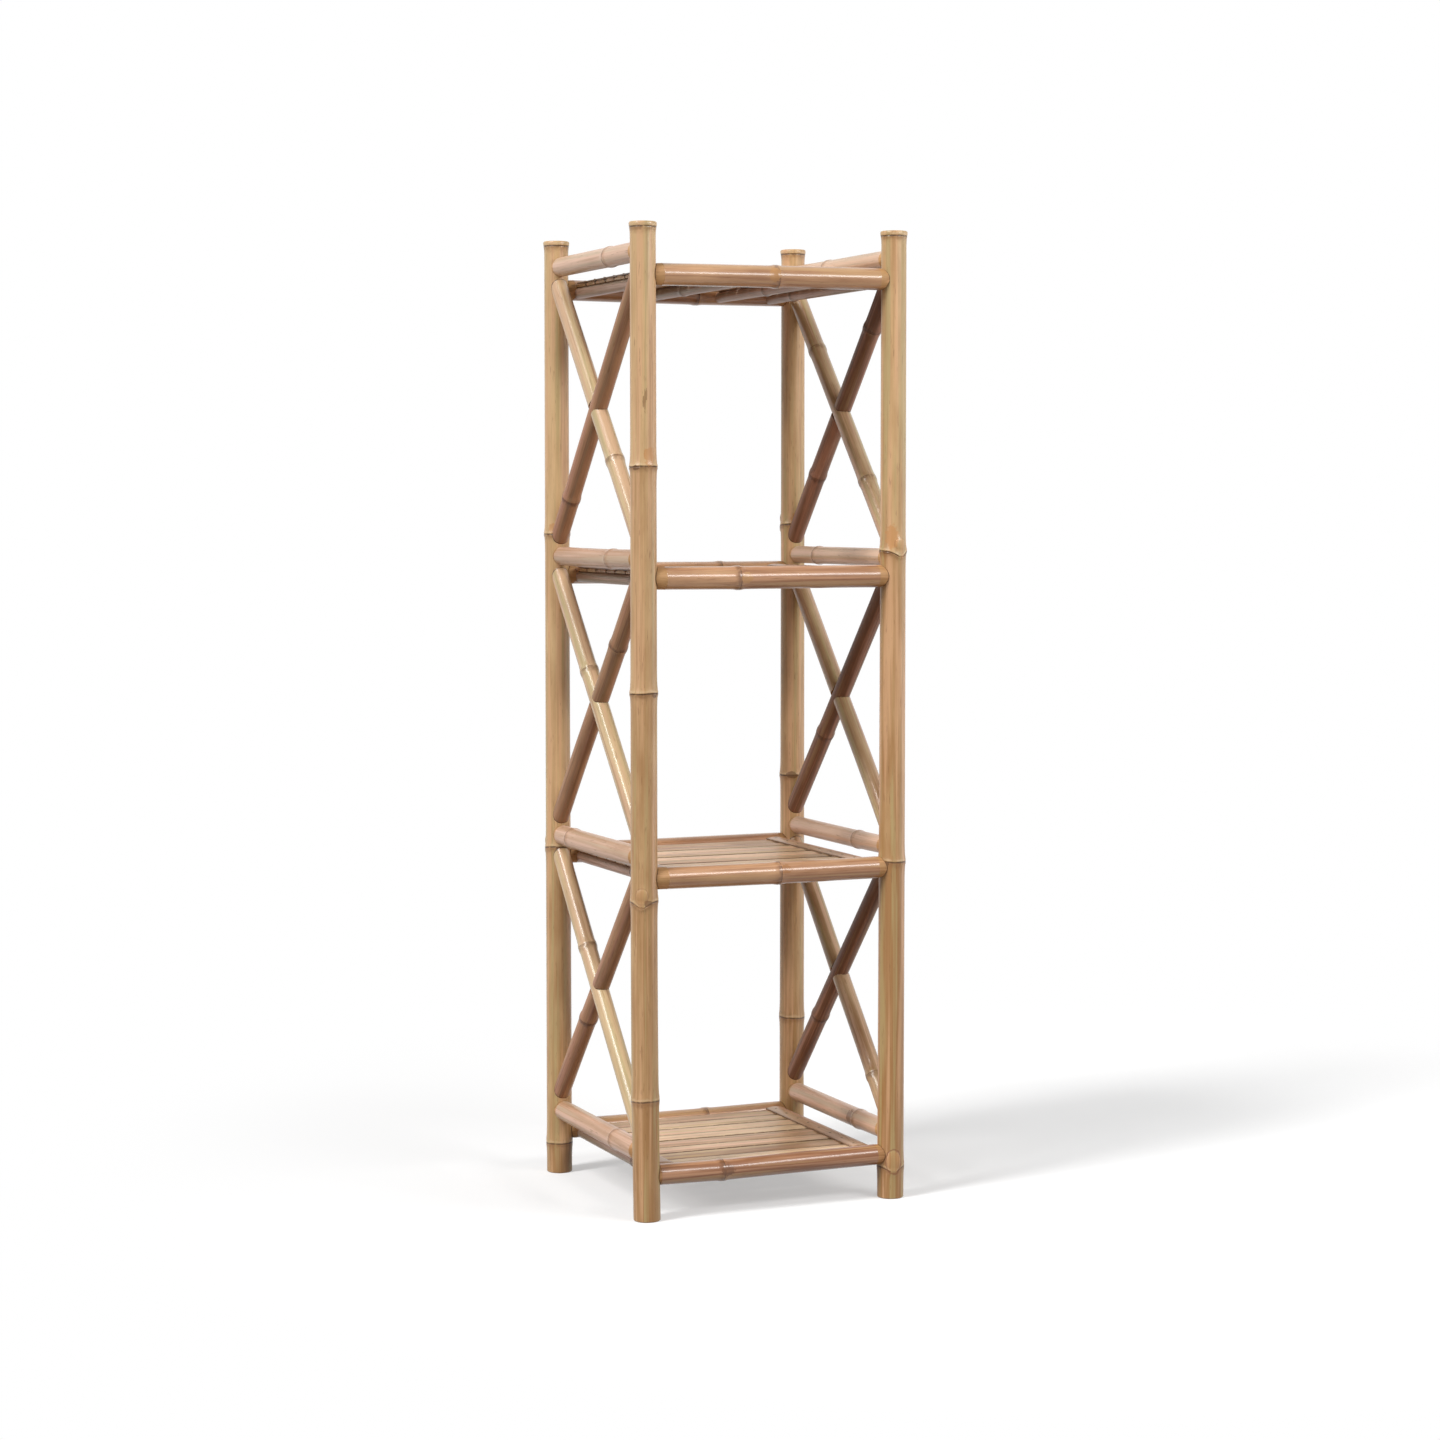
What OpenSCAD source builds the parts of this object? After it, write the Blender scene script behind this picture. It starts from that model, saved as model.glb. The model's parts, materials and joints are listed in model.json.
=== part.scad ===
// Four-tier bamboo shelving unit, in millimetres.
// Origin on the floor in the middle of the footprint: X across the front, -Y to the front, Z up.
// Shelf 1 is the lowest shelf. Bay 1 is the brace bay between shelves 1 and 2.

/* [Frame] */
// Width between the axes of the left and right posts
post_span_x = 385; // [330:5:450]
// Depth between the axes of the front and back posts
post_span_y = 350; // [300:5:400]
// Height of the lowest front rail's axis above the floor
foot_clear = 64; // [55:1:120]
// Height from one shelf to the next
shelf_step = 420; // [360:5:460]
// Length of post above the top front rail's axis
head_clear = 71; // [60:1:120]

/* [Posts] */
// Diameter of a post at the floor
post_foot_d = 38.5; // [36:0.5:42]
// Diameter of a post at its top
post_top_d = 36; // [35:0.5:40]
// Wall of a post
post_wall = 6; // [4:0.5:8]

/* [Rails] */
// Diameter of the front and back rails
long_rail_d = 31; // [27:0.5:33]
// Diameter of the side rails
side_rail_d = 28; // [24:0.5:30]
// Height of the side rails above the front and back rails
side_rise = 30; // [28:1:40]
// Diameter of the natural bore of a rail
rail_bore_d = 14; // [10:0.5:16]

/* [Braces] */
// Diameter of a brace
brace_d = 26; // [20:0.5:27]
// Diameter of the natural bore of a brace
brace_bore_d = 9; // [6:0.5:11]
// Height from a side rail's axis to the brace's axis, both taken at the post's axis
brace_inset = 16; // [15:1:24]

/* [Shelves] */
// Number of slats in a shelf
slat_count = 8; // [5:1:10]
// Thickness of a slat
slat_t = 5; // [4:0.5:7]
// Gap between two slats
slat_gap = 1; // [0.5:0.1:3]
// Radius of the crown across a slat
slat_crown_r = 130; // [90:5:300]
// Height of the slats' top above the rails' axis
slat_top = 8; // [6:0.5:10]
// Distance from a slat's end to the post's axis
slat_end_inset = 25; // [22:1:40]
// Diameter of a bearer
bearer_d = 17; // [12:0.5:19]
// Depth planed off a bearer's top, where the slats lie
bearer_flat = 0.6; // [0.3:0.1:1.5]
// Number of bearers under a shelf
bearer_count = 4; // [2:1:6]
// Distance from a slat's end to the axis of the bearer under it
bearer_inset = 12; // [10:1:20]
// Width of a cap strip
strip_w = 28; // [20:1:34]
// Thickness of a cap strip
strip_t = 4; // [3:0.5:5]
// Distance from a cap strip's end to the rail's side
strip_end_gap = 4; // [1:0.5:12]

/* [Joints] */
// Gap between a saddle end and the culm that it fits
saddle_gap = 0.3; // [0.2:0.05:0.6]
// Gap between a shelf panel and the rails' sides
panel_gap = 0.4; // [0.2:0.1:1]
// Radial clearance of dowels, pegs and nails
fit_gap = 0.05; // [0.02:0.01:0.1]
// Length of a rail dowel inside the rail
rail_dowel_grip = 36; // [25:1:50]
// Length of a brace dowel inside the brace
brace_dowel_grip = 30; // [20:1:40]
// Depth of a brace dowel below the post's surface
brace_dowel_bite = 10; // [7:0.5:11]
// Length trimmed off the sharp lips of a half brace at the crossing
lip_trim = 6; // [2:0.5:8]
// Diameter of a bearer peg
peg_d = 6; // [4:0.5:8]
// Length of a bearer peg inside the bearer
peg_grip = 12; // [8:1:14]
// Depth of a bearer peg below the rail's surface
peg_bite = 7; // [5:0.5:8]
// Diameter of a nail
nail_d = 1.6; // [1.2:0.1:2.5]
// Diameter of a nail's head
nail_head_d = 3.6; // [3:0.1:5]
// Thickness of a nail's head
nail_head_t = 0.8; // [0.5:0.1:1.2]
// Depth that a nail reaches into the bearer
nail_bite = 8; // [5:0.5:10]

/* [Culms] */
// Height of the ring that stands out at a node
node_rise = 1.5; // [0.8:0.1:2.5]
// Length along the culm over which a node swells
node_length = 16; // [10:1:24]
// Thickness of the partition inside a node
partition_t = 3; // [2:0.5:5]

/* [Hidden] */
$fn = 64;

// Four shelves and three bays, counted from the floor
SHELVES = [1, 2, 3, 4];
BAYS = [1, 2, 3];
// A side is -1 at the left and 1 at the right, an end is -1 at the front and 1 at the back
LEFT = -1;
RIGHT = 1;
FRONT = -1;
BACK = 1;
SIDES = [LEFT, RIGHT];
ENDS = [FRONT, BACK];

// The side rails were fitted by hand, so each pair sits a little off the common rise
side_rise_offset = [2, -1, -4, 2];
// Heights of each post's nodes above the floor, listed front left, front right, back left, back right
post_nodes = [
    [171, 453, 744, 1058],
    [47, 492, 940],
    [45, 494, 962],
    [211, 589, 976]
];
// Places of the rails' nodes from their middle, from shelf 1 to shelf 4
front_rail_nodes = [[-74], [12], [-50], [8]];
back_rail_nodes = [[47], [-60], [70], [31]];
left_rail_nodes = [[-71], [105], [-59], [-52]];
right_rail_nodes = [[-73], [-68], [75], [40]];
// How much thicker or thinner than the common size each rail grew, from shelf 1 to shelf 4
long_rail_growth = [-1, 1, 1.5, 0];
left_rail_growth = [2, 2, 0, 0.5];
right_rail_growth = [0.5, -1.5, -2, 0];
// Places of the braces' nodes along the diagonal, from 0 at its lower end to 1, from bay 1 to bay 3
left_long_nodes = [[0.64], [0.61], [0.18]];
right_long_nodes = [[0.31], [0.35], [0.24, 0.74]];
left_lower_nodes = [[0.37], [], [0.31]];
right_lower_nodes = [[0.15], [], [0.27]];
left_upper_nodes = [[], [0.72], []];
right_upper_nodes = [[], [], [0.8]];
// Places of the bearers' nodes from their middle, from the left to the right
bearer_nodes = [-62, 40, -15, 75, -48, 20];
// How far each bearer was set to the right of its even place, from the left to the right
bearer_shifts = [-5, 9, 14, -6, 0, 0];
// How wide each slat was split, against the mean width, from the front to the back
slat_shares = [0.92, 1.1, 0.94, 1.08, 0.88, 1.04, 0.98, 1.06, 0.95, 1.05];

top_shelf_z = foot_clear + 3 * shelf_step;
post_h = top_shelf_z + head_clear;
long_rail_r = long_rail_d / 2;
brace_r = brace_d / 2;
bearer_r = bearer_d / 2;
slat_bottom = slat_top - slat_t;
bearer_drop = bearer_r - bearer_flat - slat_bottom;
panel_l = post_span_x - 2 * slat_end_inset;
bearer_span = panel_l - 2 * bearer_inset;
// Half depth of the shelf panel, up to the thickest rail's side
panel_half = post_span_y / 2 - long_rail_r - max(long_rail_growth) / 2 - panel_gap;
strip_half = panel_half - strip_end_gap;
foot_edge = 1.5;
cap_t = 7;
cap_flare = 1.6;
ring_groove = 0.8;
// The crown is so flat that it needs many steps round its circle
crown_steps = 720;
// How far a cutting shape runs past what it cuts
cut_over = 1;
// Air between a rail dowel's tip and the far wall of the post's bore
dowel_tip_gap = 1;

function post_x(side) = side * post_span_x / 2;
function post_y(end) = end * post_span_y / 2;
function shelf_z(s) = foot_clear + (s - 1) * shelf_step;
function side_z(s) = shelf_z(s) + side_rise + side_rise_offset[s - 1];
function post_index(side, end) = (end == FRONT ? 0 : 2) + (side == LEFT ? 0 : 1);
function post_r(z) = (post_foot_d + (post_top_d - post_foot_d) * z / post_h) / 2;
function post_bore_r(z) = post_r(z) - post_wall;
function long_r(s) = long_rail_r + long_rail_growth[s - 1] / 2;
function side_r(side, s) = (side_rail_d + (side == LEFT ? left_rail_growth : right_rail_growth)[s - 1]) / 2;
function side_nodes(side, s) = (side == LEFT ? left_rail_nodes : right_rail_nodes)[s - 1];
function within(places, length, margin) = [for (p = places) if (p > margin && p < length - margin) p];

// Brace geometry: the axis runs between the post axes, from z_low to z_high
function brace_low(b) = side_z(b) + brace_inset;
function brace_high(b) = side_z(b + 1) - brace_inset;
function brace_climb(b) = brace_high(b) - brace_low(b);
function brace_l(b) = norm([post_span_y, brace_climb(b)]);
function brace_tilt(b) = atan2(post_span_y, brace_climb(b));
// Lean is 1 where a brace climbs to the back and -1 where it climbs to the front
function long_lean(side, b) = b == 3 ? side : -side;

// Outline of half a culm, from its axis outwards, with a swollen ring at each node
function ring_points(p, r) = [
    [r, p - node_length / 2],
    [r + 0.35 * node_rise, p - node_length / 5],
    [r + 0.9 * node_rise, p - ring_groove],
    [r + 0.5 * node_rise, p],
    [r + node_rise, p + ring_groove],
    [r + 0.25 * node_rise, p + node_length / 4],
    [r, p + node_length / 2]
];
function flat(lists) = [for (l = lists) for (p = l) p];
function grown(r0, r1, length, p) = r0 + (r1 - r0) * p / length;

module culm_skin(r0, r1, length, places) {
    rings = flat([for (p = places) ring_points(p, grown(r0, r1, length, p))]);
    rotate_extrude()
        polygon(concat([[0, 0], [r0, 0]], rings, [[r1, length], [0, length]]));
}

// The hollow of a culm, parted at each node
module culm_hollow(r0, r1, length, places) {
    starts = concat([-cut_over], [for (p = places) p + partition_t / 2]);
    stops = concat([for (p = places) p - partition_t / 2], [length + cut_over]);
    for (i = [0 : len(starts) - 1])
        translate([0, 0, starts[i]])
            cylinder(
                r1 = grown(r0, r1, length, starts[i]),
                r2 = grown(r0, r1, length, stops[i]),
                h = stops[i] - starts[i]
            );
}

module culm(r, bore_r, length, places) {
    difference() {
        culm_skin(r, r, length, places);
        culm_hollow(bore_r, bore_r, length, places);
    }
}

// Outer shape of a post, larger all round by gap
module post_skin(side, end, gap = 0) {
    places = within(post_nodes[post_index(side, end)], post_h, 2 * node_length);
    rings = flat([for (p = places) ring_points(p, post_r(p) + gap)]);
    foot_r = post_r(0) + gap;
    top_r = post_r(post_h) + gap;
    translate([post_x(side), post_y(end), 0])
        rotate_extrude()
            polygon(concat(
                [[0, 0], [foot_r - foot_edge, 0], [foot_r, foot_edge]],
                rings,
                [
                    [top_r, post_h - 2 * cap_t],
                    [top_r + 0.8 * cap_flare, post_h - 0.8 * cap_t],
                    [top_r + 0.5 * cap_flare, post_h - 0.7 * cap_t],
                    [top_r + cap_flare, post_h - 0.55 * cap_t],
                    [top_r + cap_flare, post_h - foot_edge],
                    [top_r, post_h],
                    [0, post_h]
                ]
            ));
}

module post_hollow(side, end) {
    places = within(post_nodes[post_index(side, end)], post_h, 2 * node_length);
    starts = concat([-cut_over], [for (p = places) p + partition_t / 2]);
    stops = concat([for (p = places) p - partition_t / 2], [post_h - cap_t]);
    translate([post_x(side), post_y(end), 0])
        for (i = [0 : len(starts) - 1])
            translate([0, 0, starts[i]])
                cylinder(
                    r1 = post_bore_r(starts[i]),
                    r2 = post_bore_r(stops[i]),
                    h = stops[i] - starts[i]
                );
}

// Stands a piece drawn along +Z at a post, pointing along X or Y towards the other post
module along_x(side, end, z) {
    translate([post_x(side), post_y(end), z])
        rotate([0, -90 * side, 0])
            children();
}

module along_y(side, end, z) {
    translate([post_x(side), post_y(end), z])
        rotate([90 * end, 0, 0])
            children();
}

// Places a piece drawn along +Z on the axis of a brace, from the post at the lower end
module along_brace(side, b, lean) {
    translate([post_x(side), post_y(-lean), brace_low(b)])
        rotate([-lean * brace_tilt(b), 0, 0])
            children();
}

// The same from the post at the upper end, pointing down
module down_brace(side, b, lean) {
    translate([post_x(side), post_y(lean), brace_high(b)])
        rotate([180 - lean * brace_tilt(b), 0, 0])
            children();
}

// Rail dowels stop just short of the far wall of the post's bore
module rail_dowel(z, gap = 0) {
    back = post_bore_r(z) - dowel_tip_gap;
    grip = post_r(z) + rail_dowel_grip;
    translate([0, 0, -back - gap])
        cylinder(r = rail_bore_d / 2 - fit_gap + gap, h = back + grip + gap);
}

module brace_dowel(b, z, gap = 0) {
    surface = post_r(z) * brace_l(b) / post_span_y;
    translate([0, 0, surface - brace_dowel_bite - gap])
        cylinder(r = brace_bore_d / 2 - fit_gap + gap, h = brace_dowel_bite + brace_dowel_grip + gap);
}

module crossing_dowel(side, b, gap = 0) {
    reach = brace_r + brace_dowel_grip;
    along_brace(side, b, -long_lean(side, b))
        translate([0, 0, brace_l(b) / 2 - reach])
            cylinder(r = brace_bore_d / 2 - fit_gap + gap, h = 2 * reach);
}

module post_dowels(side, end, gap = 0) {
    for (s = SHELVES) {
        along_x(side, end, shelf_z(s))
            rail_dowel(shelf_z(s), gap);
        along_y(side, end, side_z(s))
            rail_dowel(side_z(s), gap);
    }
    for (b = BAYS) {
        along_brace(side, b, -end)
            brace_dowel(b, brace_low(b), gap);
        down_brace(side, b, end)
            brace_dowel(b, brace_high(b), gap);
    }
}

module post(side, end) {
    color("burlywood")
        difference() {
            post_skin(side, end);
            post_hollow(side, end);
            post_dowels(side, end, fit_gap);
        }
}

function long_places(end, s) = [
    for (p = (end == FRONT ? front_rail_nodes : back_rail_nodes)[s - 1])
        p + post_span_x / 2
];

module long_rail_skin(end, s, gap = 0) {
    along_x(LEFT, end, shelf_z(s))
        culm_skin(long_r(s) + gap, long_r(s) + gap, post_span_x, long_places(end, s));
}

module long_rail(end, s) {
    color("peru")
        difference() {
            along_x(LEFT, end, shelf_z(s))
                culm(long_r(s), rail_bore_d / 2, post_span_x, long_places(end, s));
            for (side = SIDES)
                post_skin(side, end, saddle_gap);
            for (i = [0 : bearer_count - 1])
                bearer_peg(i, end, s, fit_gap);
        }
}

module side_rail(side, s) {
    places = [for (p = side_nodes(side, s)) p + post_span_y / 2];
    color("tan")
        difference() {
            along_y(side, FRONT, side_z(s))
                culm(side_r(side, s), rail_bore_d / 2, post_span_y, places);
            for (end = ENDS)
                post_skin(side, end, saddle_gap);
        }
}

function long_brace_places(side, b) = [
    for (p = (side == LEFT ? left_long_nodes : right_long_nodes)[b - 1])
        p * brace_l(b)
];

module long_brace_skin(side, b, gap = 0) {
    along_brace(side, b, long_lean(side, b))
        culm_skin(brace_r + gap, brace_r + gap, brace_l(b), long_brace_places(side, b));
}

module long_brace(side, b) {
    color("sienna")
        difference() {
            along_brace(side, b, long_lean(side, b))
                culm(brace_r, brace_bore_d / 2, brace_l(b), long_brace_places(side, b));
            for (end = ENDS)
                post_skin(side, end, saddle_gap);
            // Wider than the bore that it crosses, because two equal holes would only touch at a point
            crossing_dowel(side, b, 2 * fit_gap);
        }
}

// The two halves lie on the other diagonal and butt against the long brace
module half_brace(side, b, end) {
    color("sienna")
        difference() {
            children();
            post_skin(side, end, saddle_gap);
            long_brace_skin(side, b, saddle_gap);
        }
}

module lower_brace(side, b) {
    lean = -long_lean(side, b);
    parts = (side == LEFT ? left_lower_nodes : right_lower_nodes)[b - 1];
    half_brace(side, b, -lean)
        along_brace(side, b, lean)
            culm(brace_r, brace_bore_d / 2, brace_l(b) / 2 - lip_trim, [for (p = parts) p * brace_l(b)]);
}

module upper_brace(side, b) {
    lean = -long_lean(side, b);
    parts = (side == LEFT ? left_upper_nodes : right_upper_nodes)[b - 1];
    half_brace(side, b, lean)
        down_brace(side, b, lean)
            culm(brace_r, brace_bore_d / 2, brace_l(b) / 2 - lip_trim, [for (p = parts) (1 - p) * brace_l(b)]);
}

// Slats lie side by side from the front rail to the back rail
slats_depth = 2 * panel_half - (slat_count - 1) * slat_gap;
function share_before(i) = i == 0 ? 0 : share_before(i - 1) + slat_shares[i - 1];
function slat_w(i) = slats_depth * slat_shares[i] / share_before(slat_count);
function slat_y(i) = i * slat_gap - panel_half + slats_depth * share_before(i) / share_before(slat_count);

module slat(i, s) {
    top = shelf_z(s) + slat_top;
    translate([0, slat_y(i) + slat_w(i) / 2, 0])
        intersection() {
            translate([-panel_l / 2, -slat_w(i) / 2, top - slat_t])
                cube([panel_l, slat_w(i), slat_t]);
            translate([-panel_l / 2 - cut_over, 0, top - slat_crown_r])
                rotate([0, 90, 0])
                    cylinder(r = slat_crown_r, h = panel_l + 2 * cut_over, $fn = crown_steps);
        }
}

module slats(s) {
    color("wheat")
        for (i = [0 : slat_count - 1])
            difference() {
                slat(i, s);
                if (i == 0)
                    long_rail_skin(FRONT, s, panel_gap);
                if (i == slat_count - 1)
                    long_rail_skin(BACK, s, panel_gap);
                for (side = SIDES)
                    strip_nail(i, side, s, fit_gap);
            }
}

function bearer_x(i) = -bearer_span / 2 + i * bearer_span / (bearer_count - 1) + bearer_shifts[i];
function end_bearer_x(side) = bearer_x(side == LEFT ? 0 : bearer_count - 1);
function bearer_z(s) = shelf_z(s) - bearer_drop;

module bearers(s) {
    color("rosybrown")
        for (i = [0 : bearer_count - 1])
            difference() {
                translate([bearer_x(i), -post_span_y / 2, bearer_z(s)])
                    rotate([-90, 0, 0])
                        culm(bearer_r, peg_d / 2, post_span_y, [bearer_nodes[i] + post_span_y / 2]);
                for (end = ENDS)
                    long_rail_skin(end, s, saddle_gap);
                translate([-post_span_x / 2, -post_span_y / 2, shelf_z(s) + slat_bottom])
                    cube([post_span_x, post_span_y, bearer_d]);
                if (i == 0 || i == bearer_count - 1)
                    for (j = [0 : slat_count - 1])
                        strip_nail(j, i == 0 ? LEFT : RIGHT, s, fit_gap);
            }
}

module bearer_peg(i, end, s, gap = 0) {
    // Distance from the rail's axis to its side at the bearer's height
    side_face = sqrt(long_r(s) * long_r(s) - bearer_drop * bearer_drop);
    tip = post_span_y / 2 - side_face + peg_bite + gap;
    length = peg_bite + peg_grip + 2 * gap;
    translate([bearer_x(i), end * tip, bearer_z(s)])
        rotate([90 * end, 0, 0])
            cylinder(r = peg_d / 2 - fit_gap + gap, h = length);
}

module cap_strip(side, s) {
    color("burlywood")
        difference() {
            translate([
                side * (panel_l - strip_w) / 2 - strip_w / 2,
                -strip_half,
                shelf_z(s) + slat_top
            ])
                cube([strip_w, 2 * strip_half, strip_t]);
            for (i = [0 : slat_count - 1])
                strip_nail(i, side, s, fit_gap);
        }
}

// A nail with its head flush in the cap strip, through a slat's middle into the end bearer
module strip_nail(i, side, s, gap = 0) {
    top = shelf_z(s) + slat_top + strip_t;
    tip = shelf_z(s) + slat_bottom - nail_bite;
    translate([end_bearer_x(side), slat_y(i) + slat_w(i) / 2, 0]) {
        translate([0, 0, tip - gap])
            cylinder(r = nail_d / 2 + gap, h = top - tip);
        translate([0, 0, top - nail_head_t - gap])
            cylinder(r = nail_head_d / 2 + gap, h = nail_head_t + gap);
    }
}

module rail_dowels() {
    color("moccasin")
        for (side = SIDES)
            for (end = ENDS)
                for (s = SHELVES) {
                    along_x(side, end, shelf_z(s))
                        rail_dowel(shelf_z(s));
                    along_y(side, end, side_z(s))
                        rail_dowel(side_z(s));
                }
}

module brace_dowels() {
    color("moccasin")
        for (side = SIDES)
            for (end = ENDS)
                for (b = BAYS) {
                    along_brace(side, b, -end)
                        brace_dowel(b, brace_low(b));
                    down_brace(side, b, end)
                        brace_dowel(b, brace_high(b));
                }
}

module crossing_dowels() {
    color("moccasin")
        for (side = SIDES)
            for (b = BAYS)
                crossing_dowel(side, b);
}

module bearer_pegs() {
    color("moccasin")
        for (s = SHELVES)
            for (end = ENDS)
                for (i = [0 : bearer_count - 1])
                    bearer_peg(i, end, s);
}

module strip_nails() {
    color("silver")
        for (s = SHELVES)
            for (side = SIDES)
                for (i = [0 : slat_count - 1])
                    strip_nail(i, side, s);
}

post(LEFT, FRONT);  // front_left_post
post(RIGHT, FRONT);  // front_right_post
post(LEFT, BACK);  // back_left_post
post(RIGHT, BACK);  // back_right_post
for (s = SHELVES) long_rail(FRONT, s);
for (s = SHELVES) long_rail(BACK, s);
for (s = SHELVES) side_rail(LEFT, s);
for (s = SHELVES) side_rail(RIGHT, s);
for (b = BAYS) long_brace(LEFT, b);
for (b = BAYS) long_brace(RIGHT, b);
for (b = BAYS) lower_brace(LEFT, b);
for (b = BAYS) lower_brace(RIGHT, b);
for (b = BAYS) upper_brace(LEFT, b);
for (b = BAYS) upper_brace(RIGHT, b);
for (s = SHELVES) slats(s);
for (s = SHELVES) bearers(s);
for (s = SHELVES) cap_strip(LEFT, s);
for (s = SHELVES) cap_strip(RIGHT, s);
rail_dowels();
brace_dowels();
crossing_dowels();
bearer_pegs();
strip_nails();
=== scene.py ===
# %% [markdown]
# # Dressing a bamboo shelving unit
# The unit is a hand-made etagere: four round posts, rails between them, X braces at the sides and four
# slatted shelves. Its construction is already made as a CAD model, so this lesson makes only what the eye
# needs: grown culms in place of turned ones, split slats in place of boards, and bamboo for every
# surface. The model comes in as a fixed frame, in metres, and each new piece takes its place from it.

# %% Load the frame
import json
import math
import random

import bpy
import numpy as np
from mathutils import Matrix, Vector

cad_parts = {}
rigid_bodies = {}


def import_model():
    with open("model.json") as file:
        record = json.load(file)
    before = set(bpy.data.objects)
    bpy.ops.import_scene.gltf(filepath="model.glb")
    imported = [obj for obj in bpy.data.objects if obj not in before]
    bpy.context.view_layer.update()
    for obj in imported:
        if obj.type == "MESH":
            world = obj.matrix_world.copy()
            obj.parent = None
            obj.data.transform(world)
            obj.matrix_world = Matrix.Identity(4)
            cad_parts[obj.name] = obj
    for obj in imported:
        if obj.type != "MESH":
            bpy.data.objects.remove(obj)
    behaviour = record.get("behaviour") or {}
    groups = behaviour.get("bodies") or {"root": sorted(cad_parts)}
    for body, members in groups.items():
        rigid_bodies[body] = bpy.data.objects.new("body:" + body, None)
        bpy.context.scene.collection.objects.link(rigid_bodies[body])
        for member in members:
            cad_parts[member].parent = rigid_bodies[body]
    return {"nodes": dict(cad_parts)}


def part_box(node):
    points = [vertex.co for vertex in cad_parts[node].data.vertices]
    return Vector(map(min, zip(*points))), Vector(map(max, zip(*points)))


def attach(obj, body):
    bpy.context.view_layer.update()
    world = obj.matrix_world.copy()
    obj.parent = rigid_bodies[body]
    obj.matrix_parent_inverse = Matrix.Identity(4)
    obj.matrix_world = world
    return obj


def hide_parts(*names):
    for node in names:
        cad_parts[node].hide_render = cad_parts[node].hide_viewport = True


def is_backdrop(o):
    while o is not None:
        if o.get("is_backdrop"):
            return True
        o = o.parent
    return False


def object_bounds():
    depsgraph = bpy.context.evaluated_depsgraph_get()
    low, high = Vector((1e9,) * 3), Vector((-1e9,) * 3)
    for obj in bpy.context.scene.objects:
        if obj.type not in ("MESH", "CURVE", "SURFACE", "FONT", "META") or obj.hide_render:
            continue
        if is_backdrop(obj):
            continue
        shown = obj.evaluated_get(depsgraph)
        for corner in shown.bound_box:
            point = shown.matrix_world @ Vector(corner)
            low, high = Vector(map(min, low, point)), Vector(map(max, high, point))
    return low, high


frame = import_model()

CAD_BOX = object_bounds()
bpy.ops.object.select_all(action="DESELECT")
print("the frame has", len(frame["nodes"]), "pieces, from", CAD_BOX[0][:], "to", CAD_BOX[1][:])

# %% [markdown]
# ## Names and places
# A sound way to keep a big model tidy is to name each place once. A side is -1 at the left and 1 at the
# right, an end is -1 at the front and 1 at the back, and shelf 1 is the lowest. The axes of the posts and
# rails are read from the frame, because a culm is round and the middle of its box is its axis.

# %% Sides, ends and axes
MM = 0.001
LEFT, RIGHT = -1, 1
FRONT, BACK = -1, 1
SIDES = {LEFT: "left", RIGHT: "right"}
ENDS = {FRONT: "front", BACK: "back"}
SHELVES = (1, 2, 3, 4)
BAYS = (1, 2, 3)


def middle(node):
    """The middle of a CAD piece's box."""
    low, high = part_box(node)
    return (low + high) / 2


def post_name(side, end):
    return "%s_%s_post" % (ENDS[end], SIDES[side])


POST_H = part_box(post_name(LEFT, FRONT))[1].z
POST_AT = {(side, end): middle(post_name(side, end)) for side in SIDES for end in ENDS}
SHELF_Z = {s: middle("front_rail_%d" % s).z for s in SHELVES}
SIDE_Z = {s: middle("left_rail_%d" % s).z for s in SHELVES}
SPAN_X = POST_AT[RIGHT, FRONT].x - POST_AT[LEFT, FRONT].x
SPAN_Y = POST_AT[LEFT, BACK].y - POST_AT[LEFT, FRONT].y
print("posts stand", round(SPAN_X, 4), "by", round(SPAN_Y, 4), "m apart")


def post_point(side, end, z):
    """The point at height z on a post's axis."""
    return Vector((POST_AT[side, end].x, POST_AT[side, end].y, z))


# %% [markdown]
# ## A culm, ring by ring
# A culm is a bamboo stem: a tube with a thin ridged ring at each node. A lathe or a stack of cylinders
# would do, but the plainest way is one filled circle, extruded once for each ring, whose rings are then
# set to a list of heights and radii. It is drawn along Z and moved into place later. The ends get a blind
# bore, as the real stem has, which leaves room for the dowels.

# %% Draw a turned shape
AROUND = 48


def points(shape):
    co = np.zeros(len(shape.data.vertices) * 3, np.float32)
    shape.data.vertices.foreach_get("co", co)
    return co.reshape(-1, 3).astype(float)


def set_points(shape, co):
    shape.data.vertices.foreach_set("co", co.astype(np.float32).ravel())
    shape.data.update()


def turned(name, profile):
    """A closed round shape along Z. The profile lists (height, radius) from one end to the other."""
    bpy.ops.mesh.primitive_circle_add(vertices=AROUND, radius=1, fill_type="NGON", location=(0, 0, 0))
    shape = bpy.context.object
    shape.name = name
    shape.data.name = name
    bpy.ops.object.mode_set(mode="EDIT")
    bpy.ops.mesh.extrude_repeat(steps=len(profile) - 1, offset=(0, 0, 1))
    bpy.ops.object.mode_set(mode="OBJECT")
    # Ring number i lies at height i until here
    co = points(shape)
    heights, radii = np.array(profile)[np.rint(co[:, 2]).astype(int)].T
    set_points(shape, np.column_stack((co[:, 0] * radii, co[:, 1] * radii, heights)))
    bpy.ops.object.mode_set(mode="EDIT")
    bpy.ops.mesh.select_all(action="SELECT")
    bpy.ops.mesh.normals_make_consistent(inside=False)
    bpy.ops.object.mode_set(mode="OBJECT")
    return shape


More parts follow.
